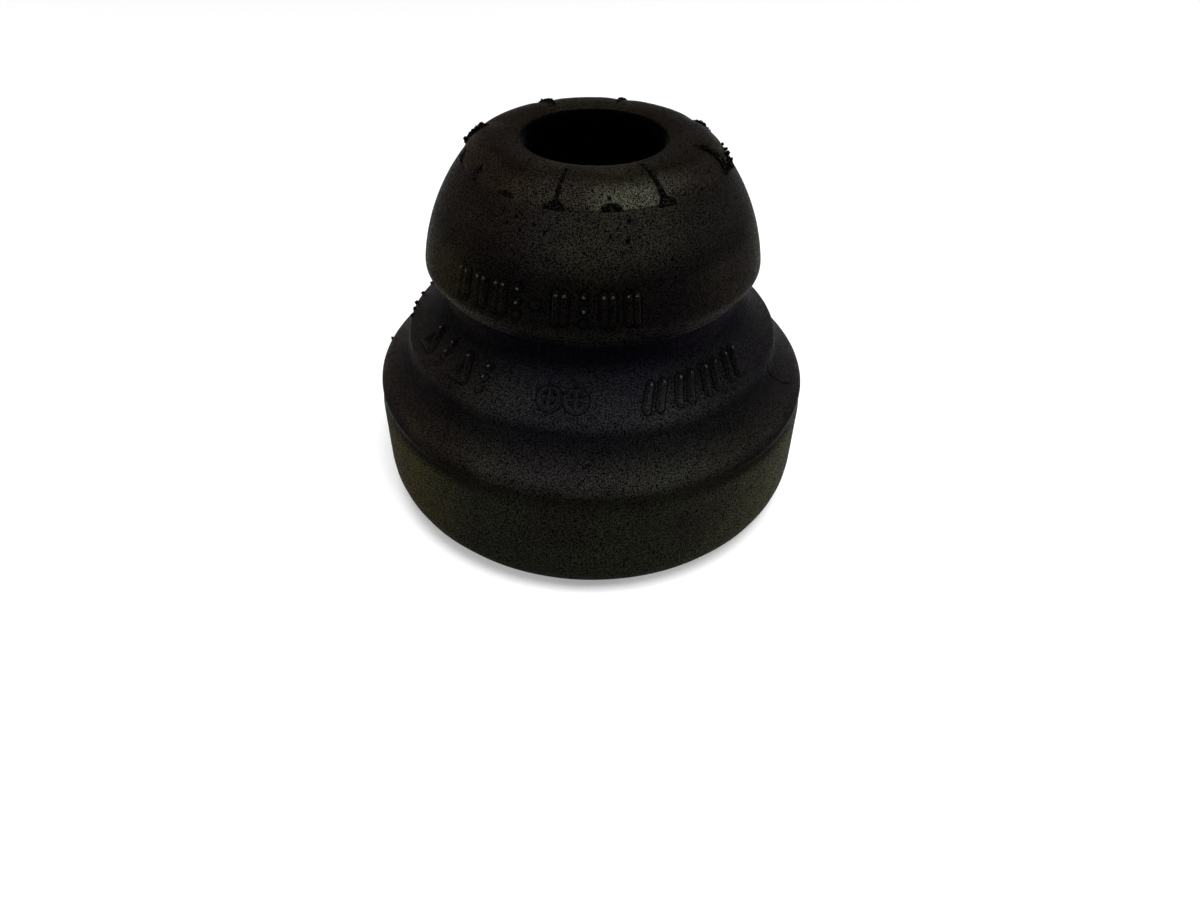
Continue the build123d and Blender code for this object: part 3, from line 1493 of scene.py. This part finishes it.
@dataclass
class FlashCrumbs:
    """The crumbs of flash that hang on at the collar's left edge and by the crown's right rib.

    Attributes:
        crumbs: The crumbs.
        ragged: How uneven a crumb is, in millimetres.
        grit: How close its lumps are.
        ball_cuts: How often the ball that it grows from is divided.
        seed: Where the lumps' noise is read.
    """

    crumbs: tuple[Crumb, ...] = FLASH_CRUMBS
    ragged: float = 0.9
    grit: float = 3.2
    ball_cuts: int = 4
    seed: int = 5

    def tree(self, inputs: dict[str, object]) -> bpy.types.NodeTree:
        """The tree that puts an uneven ball at each crumb's place.

        Args:
            inputs: The tree's named inputs and their values.

        Returns:
            The tree.
        """
        sheet, value = new_geometry_tree("flash_crumbs", inputs)
        ball = sheet.out(
            "GeometryNodeMeshIcoSphere", {"Radius": 0.5 * MM, "Subdivisions": self.ball_cuts}
        )
        size = sheet.scaled((1.0, 1.0, 1.0), sheet.attribute("width"))
        copies = sheet.out(
            "GeometryNodeInstanceOnPoints",
            {"Points": value["Geometry"], "Instance": ball, "Scale": size},
        )
        real = sheet.out("GeometryNodeRealizeInstances", {"Geometry": copies})
        here = sheet.scaled(sheet.out("GeometryNodeInputPosition"), 1 / MM)
        place = sheet.vector_maths("ADD", here, sheet.scaled((1.0, 1.0, 1.0), value["Seed"]))
        lump = sheet.minus(sheet.noise(place, value["Grit"], 2.0), 0.5)
        swell = sheet.times(lump, value["Raggedness"], MM)
        offset = sheet.scaled(sheet.out("GeometryNodeInputNormal"), swell)
        uneven = sheet.out("GeometryNodeSetPosition", {"Geometry": real, "Offset": offset})
        end_geometry_tree(sheet, uneven, value["Material"])
        return sheet.tree

    def build(self, material: bpy.types.Material) -> bpy.types.Object:
        """Builds the crumbs.

        Args:
            material: Their finish.

        Returns:
            The finished piece.
        """
        inputs = {
            "Raggedness": self.ragged,
            "Grit": self.grit,
            "Seed": self.seed,
            "Material": material,
        }
        turns = [radians(crumb.azimuth) for crumb in self.crumbs]
        places = [
            (crumb.r * sin(turn) * MM, -crumb.r * cos(turn) * MM, crumb.z * MM)
            for crumb, turn in zip(self.crumbs, turns)
        ]
        start = points_mesh("crumbs", places, {"width": [crumb.width for crumb in self.crumbs]})
        crumbs = grow("flash_crumbs", start, self.tree(inputs), inputs)
        drop_attributes(crumbs.data, ("width",))
        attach(crumbs, BODY)
        return crumbs


# Finishes

# Sizes of the skin's spots, as shares of their spacing, and waves of its bloom per millimetre
PIT_SIZE = 0.2
DUST_SIZE = 0.035
BLOOM_WAVES = 0.09

# The lumps' spacing in the grain's, and how much of the height each layer makes
LUMP_SCALE = 0.28
GRAIN_HEIGHT = 0.6
LUMP_HEIGHT = 0.8
PIT_DEPTH = 0.9


def skin_group() -> bpy.types.NodeTree:
    """The shader group for the skin's grain, pits and dust, which every rubber finish uses.

    Returns:
        The group, which takes a position in millimetres.
    """
    tree = bpy.data.node_groups.new("rubber_skin", "ShaderNodeTree")
    inputs = {
        "Position": ("NodeSocketVector", None),
        "Grain Size": ("NodeSocketFloat", 0.2),
        "Pit Spacing": ("NodeSocketFloat", 1.0),
        "Pit Share": ("NodeSocketFloat", 0.2),
        "Dust Spacing": ("NodeSocketFloat", 3.0),
        "Dust Share": ("NodeSocketFloat", 0.1),
    }
    for name, (kind, start) in inputs.items():
        socket = tree.interface.new_socket(name, in_out="INPUT", socket_type=kind)
        if start is not None:
            socket.default_value = start
    for name in ("Height", "Grain", "Pits", "Dust", "Bloom"):
        tree.interface.new_socket(name, in_out="OUTPUT", socket_type="NodeSocketFloat")
    sheet = NodeSheet(tree)
    value = sheet.add("NodeGroupInput").outputs
    place = value["Position"]
    grain = sheet.noise(place, sheet.over(1.0, value["Grain Size"]), 3.0, 0.6)
    lumps = sheet.noise(place, sheet.over(LUMP_SCALE, value["Grain Size"]), 2.0, 0.5)

    def spots(spacing: Feed, share: Feed, size: float) -> Socket:
        """A mask of small round spots, of which only a share is there."""
        cells = sheet.add(
            "ShaderNodeTexVoronoi", {"Vector": place, "Scale": sheet.over(1.0, spacing)}
        )
        near = sheet.range(cells.outputs["Distance"], size, size * 0.5)
        draw = sheet.out("ShaderNodeSeparateColor", {0: cells.outputs["Color"]})
        return sheet.times(near, sheet.maths("LESS_THAN", draw, share))

    pits = spots(value["Pit Spacing"], value["Pit Share"], PIT_SIZE)
    dust = spots(value["Dust Spacing"], value["Dust Share"], DUST_SIZE)
    soft_patch = sheet.noise(place, BLOOM_WAVES, 4.0, 0.55)
    rough = sheet.plus(sheet.times(grain, GRAIN_HEIGHT), sheet.times(lumps, LUMP_HEIGHT))
    height = sheet.minus(rough, sheet.times(pits, PIT_DEPTH))
    ends = {"Height": height, "Grain": grain, "Pits": pits, "Dust": dust, "Bloom": soft_patch}
    sheet.add("NodeGroupOutput", ends)
    return tree


@dataclass(frozen=True)
class SkinValues:
    """The values that a finish gives to the skin's group."""

    grain_size: float
    pit_spacing: float
    pit_share: float
    dust_spacing: float
    dust_share: float


def start_rubber(
    name: str, skin: SkinValues, group: bpy.types.NodeTree
) -> tuple[bpy.types.Material, NodeSheet, Socket, bpy.types.bpy_prop_collection]:
    """Starts a rubber material with the skin's group placed in it.

    Args:
        name: The material's name.
        skin: The group's values.
        group: The skin's group.

    Returns:
        The material, its sheet, the position in millimetres and the group's masks by name.
    """
    material = bpy.data.materials.new(name)
    material.use_nodes = True
    material.node_tree.nodes.clear()
    sheet = NodeSheet(material.node_tree)
    place = sheet.scaled(sheet.add("ShaderNodeTexCoord").outputs["Object"], 1 / MM)
    inputs = {
        "Position": place,
        "Grain Size": skin.grain_size,
        "Pit Spacing": skin.pit_spacing,
        "Pit Share": skin.pit_share,
        "Dust Spacing": skin.dust_spacing,
        "Dust Share": skin.dust_share,
    }
    return material, sheet, place, sheet.add("ShaderNodeGroup", inputs, node_tree=group).outputs


def end_rubber(
    sheet: NodeSheet, colour: Socket, roughness: Feed, specular: float, height: Socket, depth: float
) -> bpy.types.Node:
    """Ends a rubber material with its shader.

    Args:
        sheet: The material's sheet.
        colour: Its colour.
        roughness: Its roughness.
        specular: Its specular level.
        height: The grain's height.
        depth: How deep the grain is, in millimetres.

    Returns:
        The shader.
    """
    finish = sheet.add(
        "ShaderNodeBsdfPrincipled",
        {"Base Color": colour, "Roughness": roughness, "Specular IOR Level": specular},
    )
    bump = {"Height": height, "Strength": 1.0, "Distance": depth * MM}
    sheet.feed(finish.inputs["Normal"], sheet.out("ShaderNodeBump", bump))
    sheet.add("ShaderNodeOutputMaterial", {"Surface": finish.outputs[0]})
    return finish


@dataclass(frozen=True)
class SkinLightBand:
    """A band of the section with one colour, into which painted highlights and shade go: its name,
    its lowest and highest z, its colour.
    """

    name: str
    low: float
    high: float
    colour: Colour


# The skin's colour by height. Besides the rubber's own dark tone, the bands paint highlights on the
# brow, the collar's edge and the crown, and shade in the groove, the waist under the lip and the
# bore's mouth.
SKIN_AND_PAINTED_LIGHT_BANDS = (
    SkinLightBand("base", 0.0, 16.8, (0.0094, 0.0095, 0.0067)),
    SkinLightBand("groove", 18.9, 19.8, (0.0055, 0.0053, 0.004)),
    SkinLightBand("brow", 21.3, 21.5, (0.0155, 0.015, 0.013)),
    SkinLightBand("shoulder slope", 24.4, 25.9, (0.005, 0.005, 0.0055)),
    SkinLightBand("collar edge", 27.8, 29.2, (0.0112, 0.0112, 0.012)),
    SkinLightBand("collar slope", 31.3, 31.5, (0.0057, 0.006, 0.0072)),
    SkinLightBand("waist", 33.2, 35.6, (0.0025, 0.0022, 0.004)),
    SkinLightBand("lip", 38.4, 38.6, (0.006, 0.0057, 0.005)),
    SkinLightBand("bulb foot", 40.0, 45.2, (0.0032, 0.0029, 0.0026)),
    SkinLightBand("bulb", 49.0, 52.0, (0.011, 0.0104, 0.0083)),
    SkinLightBand("crown", 53.0, 54.5, (0.017, 0.015, 0.0106)),
    SkinLightBand("mouth", 55.0, 55.4, (0.0097, 0.0079, 0.0052)),
)


@dataclass(frozen=True)
class SideLightTint:
    """What a colour is multiplied by at the sides, to paint the light and shade that fall there.

    Attributes:
        left: The tint on the left.
        right: The tint on the right.
        left_fade: Between which shares of the way to the side the left one comes in.
        right_fade: The same for the right one.
    """

    left: Colour
    right: Colour
    left_fade: Pair
    right_fade: Pair

    def build(self, sheet: NodeSheet, side: Socket) -> Socket:
        """The tint at each share of the way from the left, -1, to the right, 1."""
        plain = opaque((1, 1, 1))
        tint = sheet.mix_colour(sheet.range(side, *self.left_fade), plain, opaque(self.left))
        return sheet.mix_colour(sheet.range(side, *self.right_fade), tint, opaque(self.right))


@dataclass(frozen=True)
class PetalHighlight:
    """The painted highlight on the crown's front petals.

    Attributes:
        colour: Its colour.
        left_fade: The azimuths, in radians, between which it comes in at the left.
        right_fade: Those between which it comes in at the right.
        sharp_foot: The heights between which it comes in above the crown's edge, at the front.
        soft_foot: The same beside the front, where there is no edge to see.
        beside: The azimuths between which the foot turns soft, at the right and at the left.
        crest: The heights between which it comes in from above.
    """

    colour: Colour = (0.039, 0.039, 0.029)
    left_fade: Pair = (-0.12, 0.14)
    right_fade: Pair = (1.0, 0.2)
    sharp_foot: Pair = (52.5, 52.75)
    soft_foot: Pair = (52.8, 54.0)
    beside: tuple[Pair, Pair] = ((0.5, 0.56), (-0.26, -0.32))
    crest: Pair = (55.3, 53.9)

    def mask(self, sheet: NodeSheet, azimuth: Socket, z: Socket, waved: Socket) -> Socket:
        """Where the painted highlight is.

        Args:
            sheet: The material's sheet.
            azimuth: The azimuth in radians.
            z: The height.
            waved: The height with a slow wave in it.

        Returns:
            The mask.
        """
        front = sheet.times(
            sheet.range(azimuth, *self.left_fade), sheet.range(azimuth, *self.right_fade)
        )
        beside = sheet.plus(*(sheet.range(azimuth, *fade) for fade in self.beside))
        foot = sheet.mix(
            beside, sheet.range(z, *self.sharp_foot), sheet.range(waved, *self.soft_foot)
        )
        return sheet.times(front, sheet.times(foot, sheet.range(waved, *self.crest)))


@dataclass(frozen=True)
class MouldedRubber:
    """The body's skin: black rubber with grain, mottling, pits and dust, into whose colour
    highlights and shade are painted.

    Heights are in millimetres, and a pair of them is where something starts and is full.

    Attributes:
        name: The material's name.
        tones_and_painted_light: The bands of its colour by height, which run softly into each other
            and paint highlights and shade.
        drift: How far slow waves move the bands up and down.
        side_drift: How far those waves move the tints of the sides.
        turn_drift: How far they move what depends on the azimuth.
        bore_shade: The painted shade inside the bore, nearly black.
        bore_shade_fade: The distances from the axis where the bore's painted shade starts and is
            full.
        petal_highlight: The painted highlight on the crown at the front.
        walls: The tints of the upright walls at the sides, which paint the side lamps' light on
            them.
        tops_side_shade: The same for the faces that look upwards, which paint shade on them at the
            sides.
        base_wall: The heights of the base's wall.
        waist_wall: Those of the waist's wall.
        bulb_wall: Those of the bulb's wall, which ends where the bulb turns over.
        hues: What the colour is multiplied by in the mottling's cool and warm patches.
        patches: Where the mottling's noise is cool and where it is warm.
        lip_edge_highlight: The colour of the painted highlight on the lip's edge at the sides.
        lip_highlight_below: The heights of that highlight's lower end.
        lip_highlight_above: Those of its upper end.
        lip_highlight_side: The shares of the way to either side where it starts and is full.
        grain_range: Where the grain's noise is dark and where it is bright.
        grain_tones: What the colour is multiplied by there.
        mark_range: Where the painted shade of the marks, pores and scratch is dark and where it is
            plain.
        mark_tones: What the colour is multiplied by there.
        glint: The colour of the painted highlight at the upper ends of the raised marks.
        glint_shade: Where the marks' shade begins to glint.
        glint_grain: Where the grain lets a glint through.
        pit_shade: The colour of the painted shade in the small pits.
        pit_share: How much of that colour they take.
        dust: The colour of the specks.
        roughness: Roughness above the groove, and on the base's wall below it.
        roughness_fade: The heights between which it changes.
        grain_roughness: The grain's noise, and what it adds to the roughness.
        specular: Specular level.
        sheen: How much the fine fuzz of the skin catches grazing light.
        sheen_roughness: Roughness of that sheen.
        bump: Height of the grain in millimetres.
        skin: The grain's values.
    """

    name: str = "moulded_rubber"
    tones_and_painted_light: tuple[SkinLightBand, ...] = SKIN_AND_PAINTED_LIGHT_BANDS
    drift: float = 2.4
    side_drift: float = 0.12
    turn_drift: float = 0.06
    bore_shade: Colour = (0.0002, 0.0002, 0.0002)
    bore_shade_fade: Pair = (9.9, 9.65)
    petal_highlight: PetalHighlight = PetalHighlight()
    walls: SideLightTint = SideLightTint((2.2, 1.9, 1.05), (2.5, 2.4, 2.0), (-0.45, -0.85), (0.3, 0.95))
    tops_side_shade: SideLightTint = SideLightTint((0.58, 0.47, 0.42), (0.53, 0.5, 0.5), (-0.25, -0.75), (0.3, 0.75))
    base_wall: Pair = (18.6, 17.0)
    waist_wall: Pair = (32.5, 34.0)
    bulb_wall: Pair = (46.5, 44.0)
    hues: tuple[Colour, Colour] = ((0.9, 0.84, 0.96), (1.12, 1.17, 1.04))
    patches: Pair = (0.36, 0.64)
    lip_edge_highlight: Colour = (0.025, 0.023, 0.0205)
    lip_highlight_below: Pair = (36.2, 37.2)
    lip_highlight_above: Pair = (39.6, 38.7)
    lip_highlight_side: Pair = (0.35, 0.85)
    grain_range: Pair = (0.41, 0.59)
    grain_tones: Pair = (0.05, 1.95)
    mark_range: Pair = (-0.9, 0.0)
    mark_tones: Pair = (0.12, 1.0)
    glint: Colour = (0.056, 0.054, 0.048)
    glint_shade: Pair = (0.45, 0.95)
    glint_grain: Pair = (0.4, 0.56)
    pit_shade: Colour = (0.001, 0.001, 0.001)
    pit_share: float = 0.8
    dust: Colour = (0.32, 0.32, 0.3)
    roughness: Pair = (0.42, 0.7)
    roughness_fade: Pair = (18.5, 16.5)
    grain_roughness: tuple[float, float, float, float] = (0.58, 0.42, -0.2, 0.4)
    specular: float = 0.003
    sheen: float = 0.021
    sheen_roughness: float = 0.17
    bump: float = 0.1
    skin: SkinValues = SkinValues(0.17, 0.8, 0.16, 2.6, 0.05)

    def section_colour_and_light(self, sheet: NodeSheet, waved: Socket) -> Socket:
        """The bands' colour at each height, with the highlights and shade that they paint."""
        top = self.tones_and_painted_light[-1].high
        stops = [
            (end / top, band.colour) for band in self.tones_and_painted_light for end in (band.low, band.high)
        ]
        return sheet.ramp(sheet.over(waved, top), stops)

    def painted_side_light(self, sheet: NodeSheet, z: Socket, side: Socket) -> Socket:
        """The tint that paints side light on the walls and side shade on the upward faces,
        whichever the height asks.
        """
        wall = sheet.plus(sheet.range(z, *self.base_wall), sheet.range(z, *self.waist_wall))
        wall = sheet.times(wall, sheet.range(z, *self.bulb_wall))
        tops_side_shade, walls = self.tops_side_shade.build(sheet, side), self.walls.build(sheet, side)
        return sheet.mix_colour(wall, tops_side_shade, walls)

    def lip_highlight_mask(self, sheet: NodeSheet, z: Socket, side: Socket) -> Socket:
        """A mask of the painted highlight on the lip's edge."""
        band = sheet.times(sheet.range(z, *self.lip_highlight_below), sheet.range(z, *self.lip_highlight_above))
        return sheet.times(band, sheet.range(sheet.maths("ABSOLUTE", side), *self.lip_highlight_side))

    def grained(
        self, sheet: NodeSheet, colour: Socket, mask: bpy.types.bpy_prop_collection
    ) -> Socket:
        """Lays the grain, the marks' shade, the pits and the dust over a colour.

        Args:
            sheet: The material's sheet.
            colour: The colour.
            mask: The skin's masks.

        Returns:
            The finished colour.
        """
        # The painted shade and highlights of the marks, pores and scratch.
        mark = sheet.add("ShaderNodeAttribute", attribute_name=SKIN_SHADE).outputs["Fac"]
        tone = sheet.times(
            sheet.range(mask["Grain"], *self.grain_range, *self.grain_tones),
            sheet.range(mark, *self.mark_range, *self.mark_tones),
        )
        # Painted highlights at the marks' upper ends.
        glint = sheet.times(
            sheet.range(mark, *self.glint_shade), sheet.range(mask["Grain"], *self.glint_grain)
        )
        colour = sheet.mix_colour(glint, sheet.scaled(colour, tone), opaque(self.glint))
        # Painted shade in the small pits.
        pits = sheet.times(mask["Pits"], self.pit_share)
        colour = sheet.mix_colour(pits, colour, opaque(self.pit_shade))
        return sheet.mix_colour(mask["Dust"], colour, opaque(self.dust))

    def build(self, group: bpy.types.NodeTree) -> bpy.types.Material:
        """Builds the material.

        Args:
            group: The skin's group.

        Returns:
            The material.
        """
        material, sheet, place, mask = start_rubber(self.name, self.skin, group)
        x, y, z = sheet.split(place)
        drift = sheet.times(sheet.minus(mask["Bloom"], 0.5), self.drift)
        waved = sheet.plus(z, drift)
        radius = sheet.maths("SQRT", sheet.plus(sheet.times(x, x), sheet.times(y, y)))
        side = sheet.plus(sheet.over(x, radius), sheet.times(drift, self.side_drift))
        azimuth = sheet.maths("ARCTAN2", x, sheet.times(y, -1.0))
        azimuth = sheet.plus(azimuth, sheet.times(drift, self.turn_drift))

        # The bands by height paint highlights and shade into the colour.
        colour = self.section_colour_and_light(sheet, waved)
        # Tints at the sides paint the side lamps' light on the walls and shade on the faces that
        # look up.
        colour = sheet.vector_maths("MULTIPLY", colour, self.painted_side_light(sheet, z, side))
        # A painted highlight on the crown's front petals.
        soft_patch = self.petal_highlight.mask(sheet, azimuth, z, waved)
        colour = sheet.mix_colour(soft_patch, colour, opaque(self.petal_highlight.colour))
        # A painted highlight on the lip's edge at the sides.
        colour = sheet.mix_colour(self.lip_highlight_mask(sheet, z, side), colour, opaque(self.lip_edge_highlight))
        # Painted shade inside the bore, nearly black.
        bore_shade = sheet.range(radius, *self.bore_shade_fade)
        colour = sheet.mix_colour(bore_shade, colour, opaque(self.bore_shade))
        cool, warm = (opaque(hue) for hue in self.hues)
        mottle = sheet.mix_colour(sheet.range(mask["Bloom"], *self.patches), cool, warm)
        colour = self.grained(sheet, sheet.vector_maths("MULTIPLY", colour, mottle), mask)

        rough = sheet.plus(
            sheet.range(z, *self.roughness_fade, *self.roughness),
            sheet.range(mask["Grain"], *self.grain_roughness),
        )
        finish = end_rubber(sheet, colour, rough, self.specular, mask["Height"], self.bump)
        finish.inputs["Sheen Weight"].default_value = self.sheen
        finish.inputs["Sheen Roughness"].default_value = self.sheen_roughness
        return material


@dataclass(frozen=True)
class TornRubber:
    """Rubber that was torn: open-celled and darker than the skin, a darkness that also paints the
    shade on the torn fins and crumbs.

    Attributes:
        name: The material's name.
        dark: The colour of its open cells, which also paints the fins' shade.
        pale: The colour of the walls between them.
        cell_walls: Where the grain's noise starts a wall and is full on one.
        roughness: Roughness.
        specular: Specular level.
        bump: Height of the grain in millimetres.
        skin: The grain's values.
    """

    name: str = "torn_rubber"
    dark: Colour = (0.0005, 0.0004, 0.0005)
    pale: Colour = (0.025, 0.0225, 0.02)
    cell_walls: Pair = (0.52, 0.66)
    roughness: float = 0.8
    specular: float = 0.004
    bump: float = 0.08
    skin: SkinValues = SkinValues(0.2, 0.45, 0.5, 0.9, 0.3)

    def build(self, group: bpy.types.NodeTree) -> bpy.types.Material:
        """Builds the material.

        Args:
            group: The skin's group.

        Returns:
            The material.
        """
        material, sheet, _, mask = start_rubber(self.name, self.skin, group)
        # Dark open cells, which also paint the fins' shade, and paler cell walls.
        walls = sheet.range(mask["Grain"], *self.cell_walls)
        colour = sheet.mix_colour(walls, opaque(self.dark), opaque(self.pale))
        end_rubber(sheet, colour, self.roughness, self.specular, mask["Height"], self.bump)
        return material


# Studio


@dataclass(frozen=True)
class Lamp:
    """A square studio lamp that faces the object.

    Attributes:
        name: Its name.
        azimuth: Its azimuth in degrees.
        elevation: Its height above the horizon in degrees.
        distance: Its distance in metres.
        size: The length of its side in metres.
        power: Its power in watts.
    """

    name: str
    azimuth: float
    elevation: float
    distance: float
    size: float
    power: float

    def build(self, target: Vector) -> bpy.types.Object:
        """Hangs the lamp.

        Args:
            target: The point that it faces.

        Returns:
            The lamp's object.
        """
        data = bpy.data.lights.new(self.name, "AREA")
        data.size, data.energy = self.size, self.power
        turn, rise = radians(self.azimuth), radians(self.elevation)
        away = Vector((sin(turn) * cos(rise), -cos(turn) * cos(rise), sin(rise)))
        lamp = bpy.data.objects.new(self.name, data)
        facing = away.to_track_quat("Z", "Y").to_matrix().to_4x4()
        lamp.matrix_world = Matrix.Translation(target + away * self.distance) @ facing
        bpy.context.scene.collection.objects.link(lamp)
        return lamp


@dataclass
class Studio:
    """The floor, the lamps, the white surroundings and the camera.

    Attributes:
        floor_size: The length of the floor's side in metres.
        floor_colour: The floor's colour.
        floor_roughness: Its roughness.
        floor_specular: Its specular level.
        floor_lift: What the floor adds where it is seen as the background.
        ambient: The strength of the surroundings as a light.
        surround: Their strength where they are seen.
        lamps: The lamps.
        camera_distance: How far the camera is in front of the axis, in millimetres.
        camera_height: How far it is above the seat, in millimetres.
        camera_pitch: How far it looks down, in degrees.
        camera_roll: How far it is tilted, in degrees.
        camera_lens: Its focal length in millimetres.
        camera_shift: How far its picture is shifted, as a share of its width.
        camera_sensor: The width of its sensor in millimetres.
        camera_clip: The nearest and the farthest that it sees, in metres.
    """

    floor_size: float = 1.0
    floor_colour: Colour = (0.86, 0.86, 0.86)
    floor_roughness: float = 0.9
    floor_specular: float = 0.1
    floor_lift: float = 0.3
    ambient: float = 0.15
    surround: float = 1.0
    lamps: tuple[Lamp, ...] = (
        Lamp("key", 12, 66, 0.9, 0.35, 7.2),
        Lamp("left", -100, 7, 0.9, 0.24, 4.0),
        Lamp("right", 100, 7, 0.9, 0.24, 5.2),
    )
    camera_distance: float = 116.35
    camera_height: float = 99.4
    camera_pitch: float = 40.16
    camera_roll: float = 0.75
    camera_lens: float = 27.0
    camera_shift: float = 0.008
    camera_sensor: float = 36.0
    camera_clip: Pair = (0.005, 50.0)

    def seen_directly(self, sheet: NodeSheet) -> Socket:
        """A mask of the rays that show the background: camera, glossy and transmission rays."""
        path = sheet.add("ShaderNodeLightPath").outputs
        mirrored = sheet.maths("MAXIMUM", path["Is Glossy Ray"], path["Is Transmission Ray"])
        return sheet.maths("MAXIMUM", path["Is Camera Ray"], mirrored)

    def build_floor(self) -> bpy.types.Object:
        """Lays the pale floor, which keeps the object's shadow.

        Returns:
            The floor.
        """
        material = bpy.data.materials.new("studio_floor")
        material.use_nodes = True
        material.node_tree.nodes.clear()
        sheet = NodeSheet(material.node_tree)
        surface = sheet.add("ShaderNodeBsdfPrincipled")
        surface.inputs["Base Color"].default_value = opaque(self.floor_colour)
        surface.inputs["Roughness"].default_value = self.floor_roughness
        surface.inputs["Specular IOR Level"].default_value = self.floor_specular
        surface.inputs["Emission Color"].default_value = opaque((1, 1, 1))
        seen = sheet.times(self.seen_directly(sheet), self.floor_lift)
        sheet.feed(surface.inputs["Emission Strength"], seen)
        sheet.add("ShaderNodeOutputMaterial", {"Surface": surface.outputs[0]})
        half = self.floor_size / 2
        mesh = bpy.data.meshes.new("studio_floor")
        outline = [(-half, -half, 0), (half, -half, 0), (half, half, 0), (-half, half, 0)]
        mesh.from_pydata(outline, [], [range(len(outline))])
        mesh.materials.append(material)
        floor = bpy.data.objects.new("studio_floor", mesh)
        bpy.context.scene.collection.objects.link(floor)
        return floor

    def build_world(self) -> None:
        """Makes the surroundings white where they are seen, and dimmer as a light."""
        world = bpy.data.worlds.new("studio_world")
        world.use_nodes = True
        world.node_tree.nodes.clear()
        sheet = NodeSheet(world.node_tree)
        strength = sheet.mix(self.seen_directly(sheet), self.ambient, self.surround)
        white = sheet.add("ShaderNodeBackground", {"Color": (1, 1, 1, 1), "Strength": strength})
        sheet.add("ShaderNodeOutputWorld", {"Surface": white.outputs[0]})
        bpy.context.scene.world = world

    def build_camera(self) -> bpy.types.Object:
        """Sets up the camera where the photograph was taken from.

        Returns:
            The camera.
        """
        data = bpy.data.cameras.new("camera")
        data.sensor_width, data.sensor_fit = self.camera_sensor, "HORIZONTAL"
        data.lens, data.shift_x = self.camera_lens, self.camera_shift
        data.clip_start, data.clip_end = self.camera_clip
        camera = bpy.data.objects.new("camera", data)
        pitch, roll = radians(self.camera_pitch), radians(self.camera_roll)
        level = Matrix.Rotation(pi / 2 - pitch, 4, "X") @ Matrix.Rotation(roll, 4, "Z")
        place = Vector((0, -self.camera_distance, self.camera_height)) * MM
        camera.matrix_world = Matrix.Translation(place) @ level
        bpy.context.scene.collection.objects.link(camera)
        bpy.context.scene.camera = camera
        return camera

    def build(self, target: Vector) -> None:
        """Builds the studio.

        Args:
            target: The point that the lamps face.
        """
        self.build_floor()
        self.build_world()
        for lamp in self.lamps:
            lamp.build(target)
        self.build_camera()
        bpy.context.scene.view_settings.view_transform = "Standard"


def main() -> None:
    """Builds the bump stop and its studio."""
    group = skin_group()
    skin, torn = MouldedRubber().build(group), TornRubber().build(group)
    pieces = [CushionBody().build(skin), VentFlash().build(torn), FlashCrumbs().build(torn)]
    for piece in pieces:
        triangles = sum(len(face.vertices) - 2 for face in piece.data.polygons)
        log.info("%s has %d triangles", piece.name, triangles)
    low, high = cad_box
    Studio().build((low + high) / 2)


if __name__ == "__main__":
    main()
